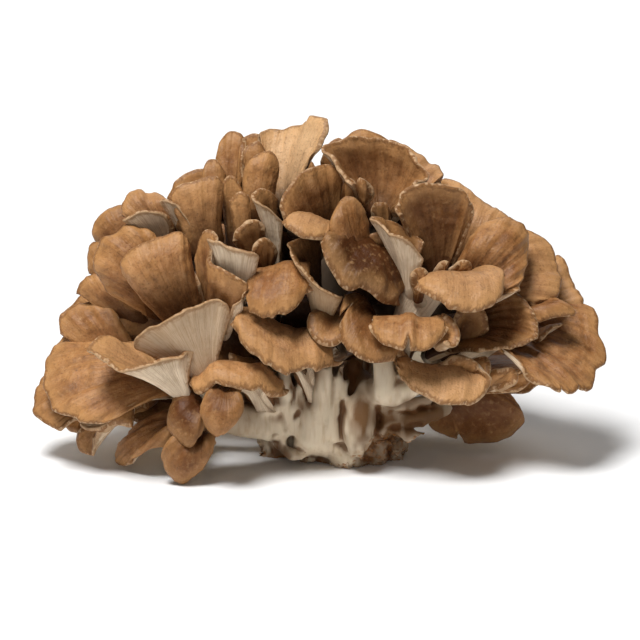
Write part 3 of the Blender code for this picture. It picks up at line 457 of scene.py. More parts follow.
        Frond((-24, 44, 22), [(-40, 44, 30), (-41, 54, 33), (-38, 62, 34), (-34, 63, 33), (-31, 55, 31)],
              None, 0.8, 6, tone=0.05),
    ),
    # The caps that spread from the cream elbow right of the trunk.
    "branch_centre_right": (
        Frond((9, 69, 36), [(8, 59, 52), (6, 56, 54), (2, 55, 54), (-2, 58, 53), (-4, 62, 51),
              (-2, 67, 48)], None, 0.7, 6, tone=0.25, curl=1.5),
        Frond((26, 35, 38), [(60, 44, 46), (64, 40, 50), (62, 35, 54), (58, 33, 56), (55, 34, 57),
              (48, 33, 58), (42, 34, 58), (36, 37, 57), (33, 40, 55), (30, 42, 51), (30, 46, 46)],
              (45, 46, 42), 0.55, 9, tone=0.95, creases=0.35, curl=1.8),
        Frond((31, 46, 34), [(48, 62, 58), (47, 58, 62), (42, 54, 66), (37, 53, 67), (34, 54, 68),
              (30, 53, 67), (25, 55, 66), (21, 58, 63), (20, 63, 58)], (34, 66, 52), 0.5, 7,
              ((0.04, 0.13, 0.1),), tone=0.55, curl=1.8),
        Frond((42, 56, 44), [(46, 66, 54), (50, 64, 56), (53, 59, 58), (51, 55, 60), (48, 57, 60)], None,
              0.8, 5, tone=0.3, curl=1.5),
        Frond((27, 37, 36), [(30, 50, 54), (25, 49, 58), (18, 49, 60), (13, 52, 60), (10, 55, 59),
              (8, 60, 57), (8, 66, 54), (8, 71, 50), (11, 75, 45)], (21, 65, 44), 0.6, 9,
              ((0.45, 0.05, 0.14),), tone=0.2, creases=0.5, curl=2.5),
        Frond((33, 59, 22), [(31, 73, 50), (26, 71, 54), (21, 74, 57), (16, 76, 59), (11, 77, 60),
              (6, 81, 60), (4, 87, 60), (2, 94, 58), (3, 99, 55)], (25, 92, 40), 0.5, tone=-0.55,
              creases=0.75, curl=3.0),
        Frond((21, 79, 30), [(3, 98, 52), (4, 104, 52), (7, 110, 50), (10, 112, 47), (14, 112, 44),
              (18, 108, 41), (19, 102, 38)], (13, 96, 50), 0.7, 6, tone=0.25, curl=1.5),
        Frond((32, 67, 22), [(18, 90, 38), (18, 94, 38), (22, 96, 38), (26, 95, 37), (29, 92, 35),
              (31, 87, 32)], None, 0.8, 6),
        Frond((28, 70, 24), [(16, 85, 42), (17, 93, 44), (22, 97, 45), (28, 95, 44), (30, 88, 42)], None,
              0.8, 6, tone=0.08, curl=1.5),
    ),
    # The upright fans high on the right.
    "branch_right_high": (
        Frond((45, 75, 24), [(32, 104, 43), (30, 108, 43), (32, 111, 43), (33, 114, 42), (38, 117, 41),
              (44, 117, 40), (51, 116, 39), (56, 114, 38), (59, 109, 36), (58, 103, 34)], (45, 96, 29),
              1.2, 8, tone=0.35),
        Frond((37, 70, 38), [(40, 88, 50), (37, 91, 54), (33, 95, 56), (28, 99, 56), (24, 102, 54),
              (21, 104, 50), (25, 104, 44), (31, 102, 39), (37, 98, 36), (40, 94, 38)], None, 1.2,
              tone=0.4, facing=(0.2, 0.6, -1)),
        Frond((57, 75, 4), [(47, 117, -2), (49, 121, 0), (54, 120, 2), (59, 117, 4), (64, 112, 6),
              (69, 110, 8), (73, 108, 9), (76, 104, 10), (76, 98, 10)], (60, 98, 14), 0.8, tone=0.75),
        Frond((53, 70, 16), [(58, 88, 26), (59, 96, 28), (62, 101, 29), (68, 104, 29), (74, 104, 28),
              (79, 101, 27), (82, 96, 27), (82, 90, 30), (80, 83, 34), (78, 78, 38), (73, 76, 41)],
              (66, 86, 36), 0.7, tone=0.5),
        Frond((33, 61, 38), [(71, 84, 44), (72, 80, 50), (70, 74, 56), (65, 70, 60), (58, 69, 62),
              (51, 70, 62), (46, 72, 62), (41, 75, 60), (37, 79, 56)], (53, 82, 46), 0.6, 8, tone=0.85,
              curl=2.5),
        Frond((38, 72, 44), [(36, 80, 52), (37, 84, 53), (40, 84, 53), (42, 81, 52)], None, 0.9, 4),
        Frond((45, 77, 36), [(46, 82, 44), (48, 86, 46), (50, 85, 45)], None, 0.9, 3),
        Frond((46, 76, 36), [(52, 83, 45), (55, 87, 47), (58, 86, 47), (57, 83, 46)], None, 0.9, 4),
    ),
    "branch_right_low": (
        Frond((50, 50, 22), [(53, 57, 36), (54, 65, 38), (59, 70, 38), (64, 67, 38), (65, 59, 37)], None,
              0.8, 6, tone=0.1, curl=1.5),
        # The wide blades low on the right.
        Frond((63, 67, 6), [(80, 100, 10), (84, 98, 11), (89, 95, 12), (93, 90, 14), (95, 84, 17),
              (96, 78, 21), (94, 74, 25), (90, 72, 28), (83, 71, 30)], (76, 82, 22), 0.75, tone=0.7),
        Frond((43, 51, 24), [(72, 78, 26), (79, 73, 32), (83, 68, 36), (84, 63, 38), (84, 58, 40),
              (79, 55, 42), (71, 53, 43), (60, 51, 42)], (65, 62, 26), 0.9, tone=0.2),
        Frond((74, 62, -6), [(92, 88, -2), (95, 90, 0), (98, 88, 2), (100, 84, 4), (102, 78, 6),
              (104, 74, 8), (105, 70, 10), (102, 67, 12)], (90, 75, 6), 0.8, tone=0.8),
        Frond((72, 58, 20), [(90, 72, 22), (96, 71, 25), (100, 68, 28), (100, 66, 31), (94, 65, 33),
              (89, 64, 34), (84, 63, 34)], (88, 70, 30), 0.7, 6, tone=0.45),
        Frond((78, 54, 10), [(96, 63, 24), (92, 63, 26), (88, 60, 28), (85, 56, 28)], None, 0.8, 5),
        Frond((57, 51, 14), [(99, 66, 6), (106, 68, 8), (110, 66, 11), (111, 59, 15), (113, 52, 20),
              (111, 46, 26), (108, 40, 32), (105, 37, 38), (101, 38, 42), (97, 35, 45), (91, 36, 47),
              (86, 39, 48), (81, 43, 48), (79, 47, 46), (74, 50, 42), (69, 52, 35)], (80, 54, 28), 0.8, 9,
              ((0.27, 0.03, 0.05),), tone=0.45),
        Frond((46, 42, 34), [(62, 44, 46), (60, 47, 47), (56, 49, 47), (52, 48, 46), (47, 45, 44)], None,
              0.9, 5),
        Frond((53, 45, 30), [(63, 50, 40), (66, 48, 42), (66, 44, 44), (64, 42, 45), (62, 44, 45)], None,
              0.8, 4),
        Frond((63, 37, 30), [(67, 44, 38), (72, 45, 40), (76, 45, 40), (76, 41, 41), (73, 40, 41)], None,
              0.8, 5),
        Frond((59, 37, 24), [(76, 36, 34), (82, 40, 36), (80, 44, 36), (77, 42, 36)], None, 0.8, 5),
        Frond((46, 34, 8), [(66, 38, 6), (72, 38, 8), (77, 33, 10), (80, 28, 11), (82, 24, 11),
              (79, 20, 10), (73, 16, 8), (65, 14, 6), (58, 14, 5), (54, 16, 6), (48, 18, 7), (44, 21, 8),
              (43, 25, 9)], (62, 30, 16), 0.8, 8, ((0.42, 0.05, 0.22),), tone=0.22, creases=0.4, curl=2.0),
    ),
    # A fan that closes the middle of the back.
    "branch_back": (
        Frond(tilted(BACK_MIDDLE[0]), [tilted(place) for place in BACK_MIDDLE[1:]], None, 0.8, 8, tone=0.4),
    ),
}


# The hidden side: rows of fans round the back, each row given by its branch, the height of its
# tips over the ground, its reach across and back, the directions of its fans in degrees from +X,
# half a fan's width, and how steeply the fans rise in degrees.
BACK_ROWS = (
    ("branch_back_right", 33, (98, 58), (8, 32, 56), 21, 12),
    ("branch_back", 36, (66, 60), (78, 102), 21, 12),
    ("branch_back_left", 33, (98, 58), (124, 148, 172), 21, 12),
    ("branch_back_right", 68, (88, 52), (16, 40), 20, 32),
    ("branch_back", 70, (66, 56), (66, 90, 114), 20, 32),
    ("branch_back_left", 68, (84, 52), (140, 162), 19, 32),
    ("branch_back_right", 93, (66, 44), (26, 52), 18, 48),
    ("branch_back", 98, (50, 46), (78, 102), 18, 48),
    ("branch_back_left", 93, (64, 44), (128, 154), 18, 48),
    ("branch_back", 112, (34, 30), (44, 76, 106, 138), 14, 62),
)
BACK_CENTRE = Vector((0.0, 17.0, 0))
BACK_SEED = 7
# The length of a fan that is 40 mm wide, and the least height of a foot.
FAN_LENGTH = 40.0
LOWEST_FOOT = 14
# The rim's places, in degrees round the fan, and how far its sides droop, in millimetres.
RIM_TURNS = range(-100, 101, 25)
SIDE_DROOP = 4


def back_fronds() -> list[tuple[str, Frond]]:
    """Lay out the fans of the hidden side.

    Returns:
        Each fan's branch and the fan, which rises from its branch and droops at the sides of its rim.
    """
    chance = random.Random(BACK_SEED)
    found = []
    for branch, height, (reach_x, reach_y), directions, half_width, rise in BACK_ROWS:
        for direction in directions:
            angle = math.radians(direction + chance.uniform(-4, 4))
            lift = math.radians(rise + chance.uniform(-8, 8))
            out = Vector((math.cos(angle), math.sin(angle), 0))
            side = Vector((-math.sin(angle), math.cos(angle), 0))
            along = out * math.cos(lift) + Vector((0, 0, math.sin(lift)))
            above = Vector((0, 0, math.cos(lift))) - out * math.sin(lift)
            reach = Vector((out.x * reach_x, out.y * reach_y, 0)) * chance.uniform(0.94, 1.0)
            tip = BACK_CENTRE + reach + Vector((0, 0, height + chance.uniform(-3, 3)))
            length = FAN_LENGTH * half_width / 20 * chance.uniform(0.9, 1.1)
            foot = tip - along * length
            foot.z = max(foot.z, LOWEST_FOOT)
            rim = []
            for degrees in RIM_TURNS:
                turn = math.radians(degrees)
                wide = half_width * (1 + chance.uniform(-0.08, 0.08)) * math.sin(turn)
                far = length * (0.5 + 0.5 * math.cos(turn)) * (1 + chance.uniform(-0.06, 0.06))
                droop = chance.uniform(-2, 2) - SIDE_DROOP * math.sin(turn) ** 2
                rim.append(tilted(foot.lerp(tip, far / length) + side * wide + above * droop))
            crown = foot.lerp(tip, 0.55) + above * 4
            facing = tuple(Vector(tilted(above)) - Vector(tilted(Vector((0, 0, 0)))))
            found.append((branch, Frond(tilted(foot), rim, tilted(crown), 0.75, 8, facing=facing)))
    return found


# The lumps round the foot of the trunk: place over the ground and half sizes.
BASE_LUMPS = (
    ((17, -9, 7), (13, 11, 12)),
    ((27, -4, 5), (8, 9, 9)),
    ((6, -17, 5), (11, 9, 9)),
    ((-10, -5, 7), (10, 9, 11)),
    ((-13, 10, 8), (13, 13, 14)),
    ((9, 14, 9), (14, 13, 15)),
)

# The trunk's column over the ground, with its radii.
TRUNK_COLUMN = (((-1, 2, -3), (-2, 1, 8), (-3, 0, 22), (-2, 2, 38)), (22.8, 20.5, 18.0, 13.5))

# Tubes of the tilted front view: the buds, the stems that part from the trunk under the middle caps, their
# splintered ends and the cream elbow right of them. Each has its places and its radii.
STEMS = (
    ([(14, 11, 30), (15, 21, 35), (16, 31, 36), (17, 41, 34)], (3.0, 6.6, 5.4, 0.9)),
    ([(9, 22, 22), (10, 34, 27), (12, 43, 28), (16, 49, 28)], (4.0, 4.6, 4.0, 1.5)),
    ([(-9, 22, 27), (-12, 31, 33), (-13, 38, 38), (-15, 48, 42)], (6.5, 4.2, 2.8, 2.6)),
    ([(-6, 26, 28), (-7, 35, 33), (-7, 46, 38)], (4.0, 2.3, 2.2)),
    ([(-1, 7, 19), (-2, 17, 26), (-1, 28, 33), (1, 37, 38), (2, 47, 44)], (9.0, 8.5, 5.6, 3.9, 3.4)),
    ([(3, 20, 29), (5, 32, 35), (7, 40, 38), (9, 47, 39)], (6.0, 3.2, 2.2, 0.7)),
    ([(6, 18, 28), (8, 30, 34), (9, 37, 36), (12, 41, 36)], (4.5, 2.6, 1.8, 0.6)),
    ([(2, 34, 35), (-1, 41, 38), (-3, 47, 39)], (2.4, 1.4, 0.6)),
    ([(-14, 26, 28), (-16, 33, 33), (-19, 40, 36)], (4.5, 2.8, 2.0)),
    ([(16, 40, 26), (22, 36, 38), (25, 38, 44), (24, 50, 45)], (4.6, 4.8, 4.4, 3.6)),
    ([(24, 36, 42), (30, 35, 44), (37, 39, 45), (44, 44, 44)], (4.8, 4.4, 3.8, 3.0)),
    ([(30, 38, 41), (33, 44, 45), (36, 49, 46)], (2.6, 1.8, 0.8)),
    ([(14, 20, 24), (28, 24, 30), (39, 26, 27), (50, 30, 18)], (6.5, 4.6, 4.0, 3.6)),
    ([(24, 28, 32), (34, 31, 34), (44, 33, 28)], (3.4, 2.4, 2.0)),
    ([(30, 22, 31), (36, 19, 33), (41, 20, 32)], (2.8, 2.0, 0.8)),
    ([(-16, 16, 24), (-14, 12, 29), (-9, 9.5, 31), (-4, 9.5, 29)], (2.6, 2.8, 2.4, 1.2)),
)

# Tan stains and painted shade of the trunk's front, colour only: the bud and the ragged limb are stained
# brown, and the same patches also paint the shade between the stems, under the elbow and under the left caps.
# Each has the middle (across, up), the half widths, the strength, and the y of the nearest flesh that is
# stained, in millimetres.
STAINS_AND_SHADE = (
    (13, 41, 9, 14, 1.0, -27),
    (16, 27, 5.5, 14, 0.85, -45),
    (27, 24, 8, 11, 1.0, -30),
    (40, 25, 15, 9, 1.0, -45),
    (22, 12, 10, 7, 0.6, -45),
    (-6, 44, 8, 8, 0.8, -38),
    (-6, 32, 5, 6, 0.4, -45),
    (-24, 33, 8, 4, 1.0, -45),
    (-33, 23, 12, 8, 0.4, -45),
    (-15, 10, 6, 4, 0.8, -45),
    (78, 46, 16, 13, 0.8, -60),
)

# Brown hollows of the trunk's front: the middle (across, up), the half widths, and the depth, in millimetres.
HOLLOWS = (
    (-17.5, 14.5, 2.6, 3.2, 3.0),
    (-8.8, 27.0, 1.3, 2.0, 2.0),
    (-10.2, 35.0, 1.2, 5.5, 4.0),
    (-4.6, 37.0, 1.3, 6.0, 4.0),
    (8.6, 25.0, 1.2, 8.0, 3.0),
    (22.5, 25.0, 1.6, 8.0, 3.0),
    (12.0, 46.0, 5.0, 6.0, 4.0),
    (24.0, 17.0, 2.2, 2.2, 2.5),
    (29.0, 22.0, 3.4, 1.0, 2.5),
    (19.0, 9.0, 2.0, 1.6, 2.0),
    (33.0, 28.0, 4.5, 0.9, 2.0),
    (41.0, 29.5, 3.5, 1.1, 3.0),
    (38.0, 23.5, 3.5, 0.8, 2.0),
    (27.0, 12.0, 1.8, 2.4, 2.0),
    (23.5, 23.0, 1.4, 2.6, 2.0),
)

# The relief of a frond. The sizes of the ruffles are millimetres along the rim and shares of the length.
RUFFLES = (Wave(22, 1 / 1.3), Wave(22 / 2.1, 0.5, 0.3, (9, 0)))
FOLDS = (Wave(4.2, 70, 1.0, (60, 0)), Wave(1.9, 40, 0.45, (80, 0)))
FINE = (Wave(1.6, 9, 1.0, (0, 20)), Wave(0.8, 5, 0.7, (7, 0)))
CREASES = (Wave(11, 3.1, 1.0, (15, 50)), Wave(5, 1.7, 0.5, (25, 35)), Wave(9, 1.9, 0.4, (30, 0)))
SWELL = (Wave(6, 6, 0.3, (40, 11)),)
# The size of the rim's lobes and of its nicks along the rim, in millimetres, and the height of a nick.
LOBE, NICK, NICK_HEIGHT = 7.5, 2.9, 0.3
# The shares of its length between which a cap opens to its full width.
CAP_OPENS = (0.22, 0.58)
# Where the skin's outermost columns and rows lie, in millimetres from its sides and from its rim, and where
# the even ones begin.
SIDE_STEPS, EVEN_FROM_SIDE = np.array([0, 0.5, 1.4]), 1.6
RIM_STEPS, EVEN_FROM_RIM = np.array([1.1, 0.45, 0.12, 0]), 2.0


@dataclass(frozen=True)
class Grid:
    """The places halfway between a frond's two faces, and which way the shown face looks there.

    Each row lies at a share out of the way from foot to rim, and each column at a place where along the
    rim, from -1 to 1.
    """

    out: np.ndarray
    where: np.ndarray
    spots: np.ndarray
    normal: np.ndarray

    def way(self, axis: int) -> np.ndarray:
        """Measure the way along the rows or the columns.

        Args:
            axis: 0 from the foot to the rim, 1 from side to side.

        Returns:
            The way to each place, in millimetres.
        """
        steps = np.linalg.norm(np.diff(self.spots, axis=axis), axis=-1)
        return np.insert(np.cumsum(steps, axis=axis), 0, 0, axis=axis)

    def to_side(self, far: float, until: float) -> np.ndarray:
        """Measure the way to the nearer side.

        Args:
            far: how much is added near the foot, where the sides are no rim, in millimetres.
            until: the share of the length that is near the foot.

        Returns:
            The way from each place, in millimetres.
        """
        across = self.way(1)
        return np.minimum(across, across[:, -1:] - across) + far * (self.out[:, None] < until)

    def to_rim(self) -> np.ndarray:
        """Measure the way from each place to the rim, in millimetres."""
        travelled = self.way(0)
        return travelled[-1:] - travelled


@dataclass(frozen=True)
class FrondSkin:
    """The fine two-sided skin of a frond, in millimetres.

    step is the step of its grid, ruffle the height of its ruffles, rim_half half its thickness at the rim,
    stem_half what the stem adds to that, thick_reach how far that reaches from the foot, wrinkle the height
    of its finest wrinkles, roll_reach how far from the rim it starts to roll under, and columns and rows the
    least and the most of them that its grid has.
    """

    frond: Frond
    seed: int
    step: float
    ruffle: float
    rim_half: float = 0.8
    stem_half: float = 2.6
    thick_reach: float = 13.0
    wrinkle: float = 0.15
    roll_reach: float = 5.5
    columns: tuple[int, int] = (22, 110)
    rows: tuple[int, int] = (18, 60)

    def middle_surface(self, where: np.ndarray, out: np.ndarray) -> np.ndarray:
        """Place the surface halfway between the two faces.

        Args:
            where: from -1 to 1 along the rim, a row of the grid.
            out: from 0 at the foot to 1 at the rim, a column of the grid.

        Returns:
            Places over the ground, out by where by 3.
        """
        frond = self.frond
        foot, places = np.array(frond.foot, float), np.array(frond.rim, float)
        # The rim is eased, because its few places would leave corners.
        shifts = np.linspace(-0.8, 0.8, 7) / (len(places) - 1)
        rim = np.mean([smooth_curve(places, np.clip(where + shift, -1, 1)) for shift in shifts], axis=0)[None]
        tip = np.mean([smooth_curve(places, np.array([shift])) for shift in shifts], axis=0)[0]
        ends = smooth_curve(places, np.array([-0.6, 0.6]))
        sideways = (ends[1] - ends[0]) / np.linalg.norm(ends[1] - ends[0])
        noise = Ripple(self.seed)
        across = where[None] * frond.width / 2
        reach = np.broadcast_to(out[:, None], (len(out), len(where))).copy()
        broad = min(frond.width / 70, 0.9 if frond.rolled else 1.6)
        lobes = broad * noise.at(across / LOBE, 3) + NICK_HEIGHT * noise.at(across / NICK, 6)
        reach = reach * (1 + lobes / max(np.linalg.norm(tip - foot), 12) * out[:, None] ** 3)
        for place, half_width, depth in frond.notches:
            near = ramp(np.abs(where[None] - place), half_width, 0)
            reach = reach * (1 - depth * near * out[:, None] ** 11)
        if frond.rounded:
            opened = ramp(reach, *CAP_OPENS)
            spread = opened * opened * (3 - 2 * opened) * (0.86 + 0.14 * reach)
        else:
            spread = np.clip(reach, 0, None) ** frond.flare
        reach, spread = reach[..., None], spread[..., None]
        spot = foot + (tip - foot) * reach + (rim - tip) * spread
        spot = spot + sideways * (where[None, :, None] * frond.stem / 2 * (1 - np.clip(spread, 0, 1)))
        if frond.middle:
            bow = np.array(frond.middle, float) - (foot + tip) / 2
            spot = spot + bow * (4 * reach * (1 - reach) * (1 - 0.6 * where[None, :, None] ** 2))
        return upright(spot)

    def grid(self) -> Grid:
        """Lay the grid, closer at the rim and the sides, and turn its normals to the cap face.

        Returns:
            The grid.
        """
        frond, width, length = self.frond, self.frond.width, self.frond.length
        columns = int(np.clip(width / self.step, *self.columns))
        rows = int(np.clip(length / self.step, *self.rows))
        side, even = SIDE_STEPS * 2 / width, 1 - EVEN_FROM_SIDE * 2 / width
        where = np.concatenate([-1 + side, np.linspace(-even, even, columns), (1 - side)[::-1]])
        out = np.concatenate([np.linspace(0, 1 - EVEN_FROM_RIM / length, rows), 1 - RIM_STEPS / length])
        spots = self.middle_surface(where, out)
        normal = np.cross(np.gradient(spots, axis=0), np.gradient(spots, axis=1))
        normal = normal / np.maximum(np.linalg.norm(normal, axis=-1, keepdims=True), 1e-9)
        facing = upright(np.array(frond.facing)) - upright(np.zeros(3))
        core = normal[len(out) // 2 : -2, len(where) // 4 : -len(where) // 4].mean(axis=(0, 1))
        if core @ facing * frond.shows.value < 0:
            normal = -normal
        return Grid(out, where, spots, normal)

    def build(self) -> tuple[np.ndarray, np.ndarray, Values]:
        """Make the closed skin.

        Returns:
            Its places, its quads as rows of place numbers, and its named values at each place.
        """
        frond, grid = self.frond, self.grid()
        out, normal, travelled = grid.out[:, None], grid.normal, grid.way(0)
        half = self.rim_half + self.stem_half * np.exp(-((travelled / self.thick_reach) ** 2))
        close, end = ramp(grid.to_side(0, 0), half, 0), ramp(grid.to_rim(), half, 0)
        roundness = np.sqrt(1 - close**2) * np.sqrt(1 - end**2)
        half = half * roundness
        noise = Ripple(self.seed + 1)
        along_rim = grid.where[None] * frond.width
        fan = along_rim / 2
        domed = frond.rounded or frond.rolled
        height = self.ruffle * min(frond.width / 60, 1.2) * (0.45 if domed else 1)
        wave = noise.heap(RUFFLES, along_rim, out) * height * out**3.2
        wave = wave + (0.25 if domed else 0.85) * noise.heap(FOLDS, fan, travelled) * out
        from_rim = np.minimum((1 - out) * frond.length, grid.to_side(30, 0.45))
        wave = wave - frond.curl * ramp(from_rim, self.roll_reach, 0) ** 2
        fine = self.wrinkle / max(1, self.step) ** 2
        relief = fine * noise.heap(FINE, fan, travelled) + noise.heap(SWELL, fan, travelled)
        relief = (relief + frond.creases * noise.heap(CREASES, fan, travelled) * out) * roundness
        base = grid.spots + normal * wave[..., None]
        top = base + normal * (half + relief)[..., None]
        under = base - normal * (half + 0.35 * relief)[..., None]
        return self.join(top, under, grid)

    @staticmethod
    def quads(corners: np.ndarray) -> np.ndarray:
        """List the quads of a grid.

        Args:
            corners: the numbers of its places.

        Returns:
            Four place numbers for each quad.
        """
        around = [corners[:-1, :-1], corners[:-1, 1:], corners[1:, 1:], corners[1:, :-1]]
        return np.stack(around, axis=-1).reshape(-1, 4)

    def join(
        self, top: np.ndarray, under: np.ndarray, grid: Grid
    ) -> tuple[np.ndarray, np.ndarray, Values]:
        """Join the two faces along the rim and the sides and close the foot.

        Args:
            top: places of the cap face.
            under: places of the pore face.
            grid: the grid between them.

        Returns:
            Places, quads and named values.
        """
        shape = (len(grid.out), len(grid.where))
        count = shape[0] * shape[1]
        index = np.arange(count).reshape(shape)
        shared = np.zeros(shape, bool)
        shared[-1] = shared[:, 0] = shared[:, -1] = True
        shared[0] = False
        below = np.where(shared, index, index + count)
        top, under = np.where(shared[..., None], (top + under) / 2, top), under
        places = np.concatenate([top.reshape(-1, 3), under.reshape(-1, 3)])

        first = np.cross(top[1, 1] - top[0, 1], top[0, 2] - top[0, 1])
        flip = float(first @ grid.normal[0, 1]) < 0
        foot = np.stack([index[0, :-1], below[0, :-1], below[0, 1:], index[0, 1:]], axis=-1)
        sheets = [self.quads(index)[:, ::-1], self.quads(below), foot]
        quad = np.concatenate([sheet[:, ::-1] if flip else sheet for sheet in sheets])
        both = {
            "reach": grid.out[:, None],
            "rim_gap": np.minimum(grid.to_rim(), grid.to_side(40, 0.35)),
            "across": grid.where[None] * grid.way(1)[-1, -1] / 2,
            "along": grid.way(0),
            # The tone is partly the frond's own colour and partly painted light and shade.
            "tone": np.array(self.frond.tone),
        }
        values = {name: np.tile(np.broadcast_to(value, shape).reshape(-1), 2) for name, value in both.items()}
        values["cap"] = np.concatenate([np.where(shared, 0.75, 1.0).reshape(-1), np.zeros(count)])
        # depth paints shade on the fronds deep inside the cluster.
        values["depth"] = painted_shade_depth(places)
        used = np.zeros(len(places), bool)
        used[quad.reshape(-1)] = True
        renumber = np.cumsum(used) - 1
        return places[used], renumber[quad], {name: value[used] for name, value in values.items()}


def new_object(name: str, data: bpy.types.ID) -> bpy.types.Object:
    """Make an object and link it to the scene.

    Args:
        name: its name.
        data: its mesh, light or camera.

    Returns:
        The object.
    """
    thing = bpy.data.objects.new(name, data)
    bpy.context.scene.collection.objects.link(thing)
    return thing


def read_vectors(mesh: bpy.types.Mesh, label: str) -> np.ndarray:
    """Read a vector at each place of a mesh.

    Args:
        mesh: the mesh.
        label: co for the place in metres, or normal for the way that the mesh looks there.

    Returns:
        One row a place.
    """
    numbers = np.empty(len(mesh.vertices) * 3, np.float32)
    mesh.vertices.foreach_get(label, numbers)
    return numbers.reshape(-1, 3)


def write_places(mesh: bpy.types.Mesh, places: np.ndarray) -> None:
    """Set the places of a mesh.

    Args:
        mesh: the mesh.
        places: one row a place, in millimetres.
    """
    mesh.vertices.foreach_set("co", (places * MM).astype(np.float32).reshape(-1))


def write_values(mesh: bpy.types.Mesh, values: Values) -> None:
    """Give a mesh the named values that its material reads.

    Args:
        mesh: the mesh.
        values: named numbers, one for each place.
    """
    for name, numbers in values.items():
        layer = mesh.attributes.get(name) or mesh.attributes.new(name, "FLOAT", "POINT")
        layer.data.foreach_set("value", numbers.astype(np.float32))


def as_modified(thing: bpy.types.Object) -> bpy.types.Mesh:
    """Take an object's mesh as its modifiers leave it, and remove them.

    Args:
        thing: the object.

    Returns:
        Its new mesh.
    """
    thing.data = bpy.data.meshes.new_from_object(thing.evaluated_get(bpy.context.evaluated_depsgraph_get()))
    thing.modifiers.clear()
    return thing.data


@dataclass
class Branch:
    """One of the main branches: its fronds, joined into one piece."""

    name: str
    fronds: list[Frond]
    seed: int
    box: np.ndarray
    piece: bpy.types.Object | None = None

    def build(self) -> None:
        """Make the skins of the fronds as one mesh."""
        step = BACK_STEP if self.name.startswith("branch_back") else FRONT_STEP
        places, faces, values, start = [], [], {}, 0
        for number, frond in enumerate(self.fronds):
            seed = self.seed * 100 + number
            chance = random.Random(seed)
            spots, quads, named = FrondSkin(frond, seed, step, 1.2 + chance.uniform(0, 0.8)).build()
            places.append(spots)
            faces.append(quads + start)
            start += len(spots)
            named["tone"] = named["tone"] + chance.uniform(-0.08, 0.08)
            for label, numbers in named.items():
                values.setdefault(label, []).append(numbers)
        inside, quads = np.clip(np.concatenate(places), *self.box), np.concatenate(faces)
        mesh = bpy.data.meshes.new(self.name + "_fronds")
        mesh.vertices.add(len(inside))
        write_places(mesh, inside)
        mesh.loops.add(quads.size)
        mesh.loops.foreach_set("vertex_index", quads.astype(np.int32).reshape(-1))
        mesh.polygons.add(len(quads))
        mesh.polygons.foreach_set("loop_start", np.arange(0, quads.size, 4, dtype=np.int32))
        mesh.update(calc_edges=True)
        mesh.validate()
        write_values(mesh, {label: np.concatenate(numbers) for label, numbers in values.items()})
        mesh.shade_smooth()
        self.piece = new_object(mesh.name, mesh)

    def dress(self, finish: bpy.types.Material) -> None:
        """Give the fronds their skin and tie them to the frame.

        Args:
            finish: the frond skin.
        """
        self.piece.data.materials.append(finish)
        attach(self.piece, "root")
        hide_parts(self.name)
        LOG.info("%s: %d fronds, %d faces", self.name, len(self.fronds), len(self.piece.data.polygons))


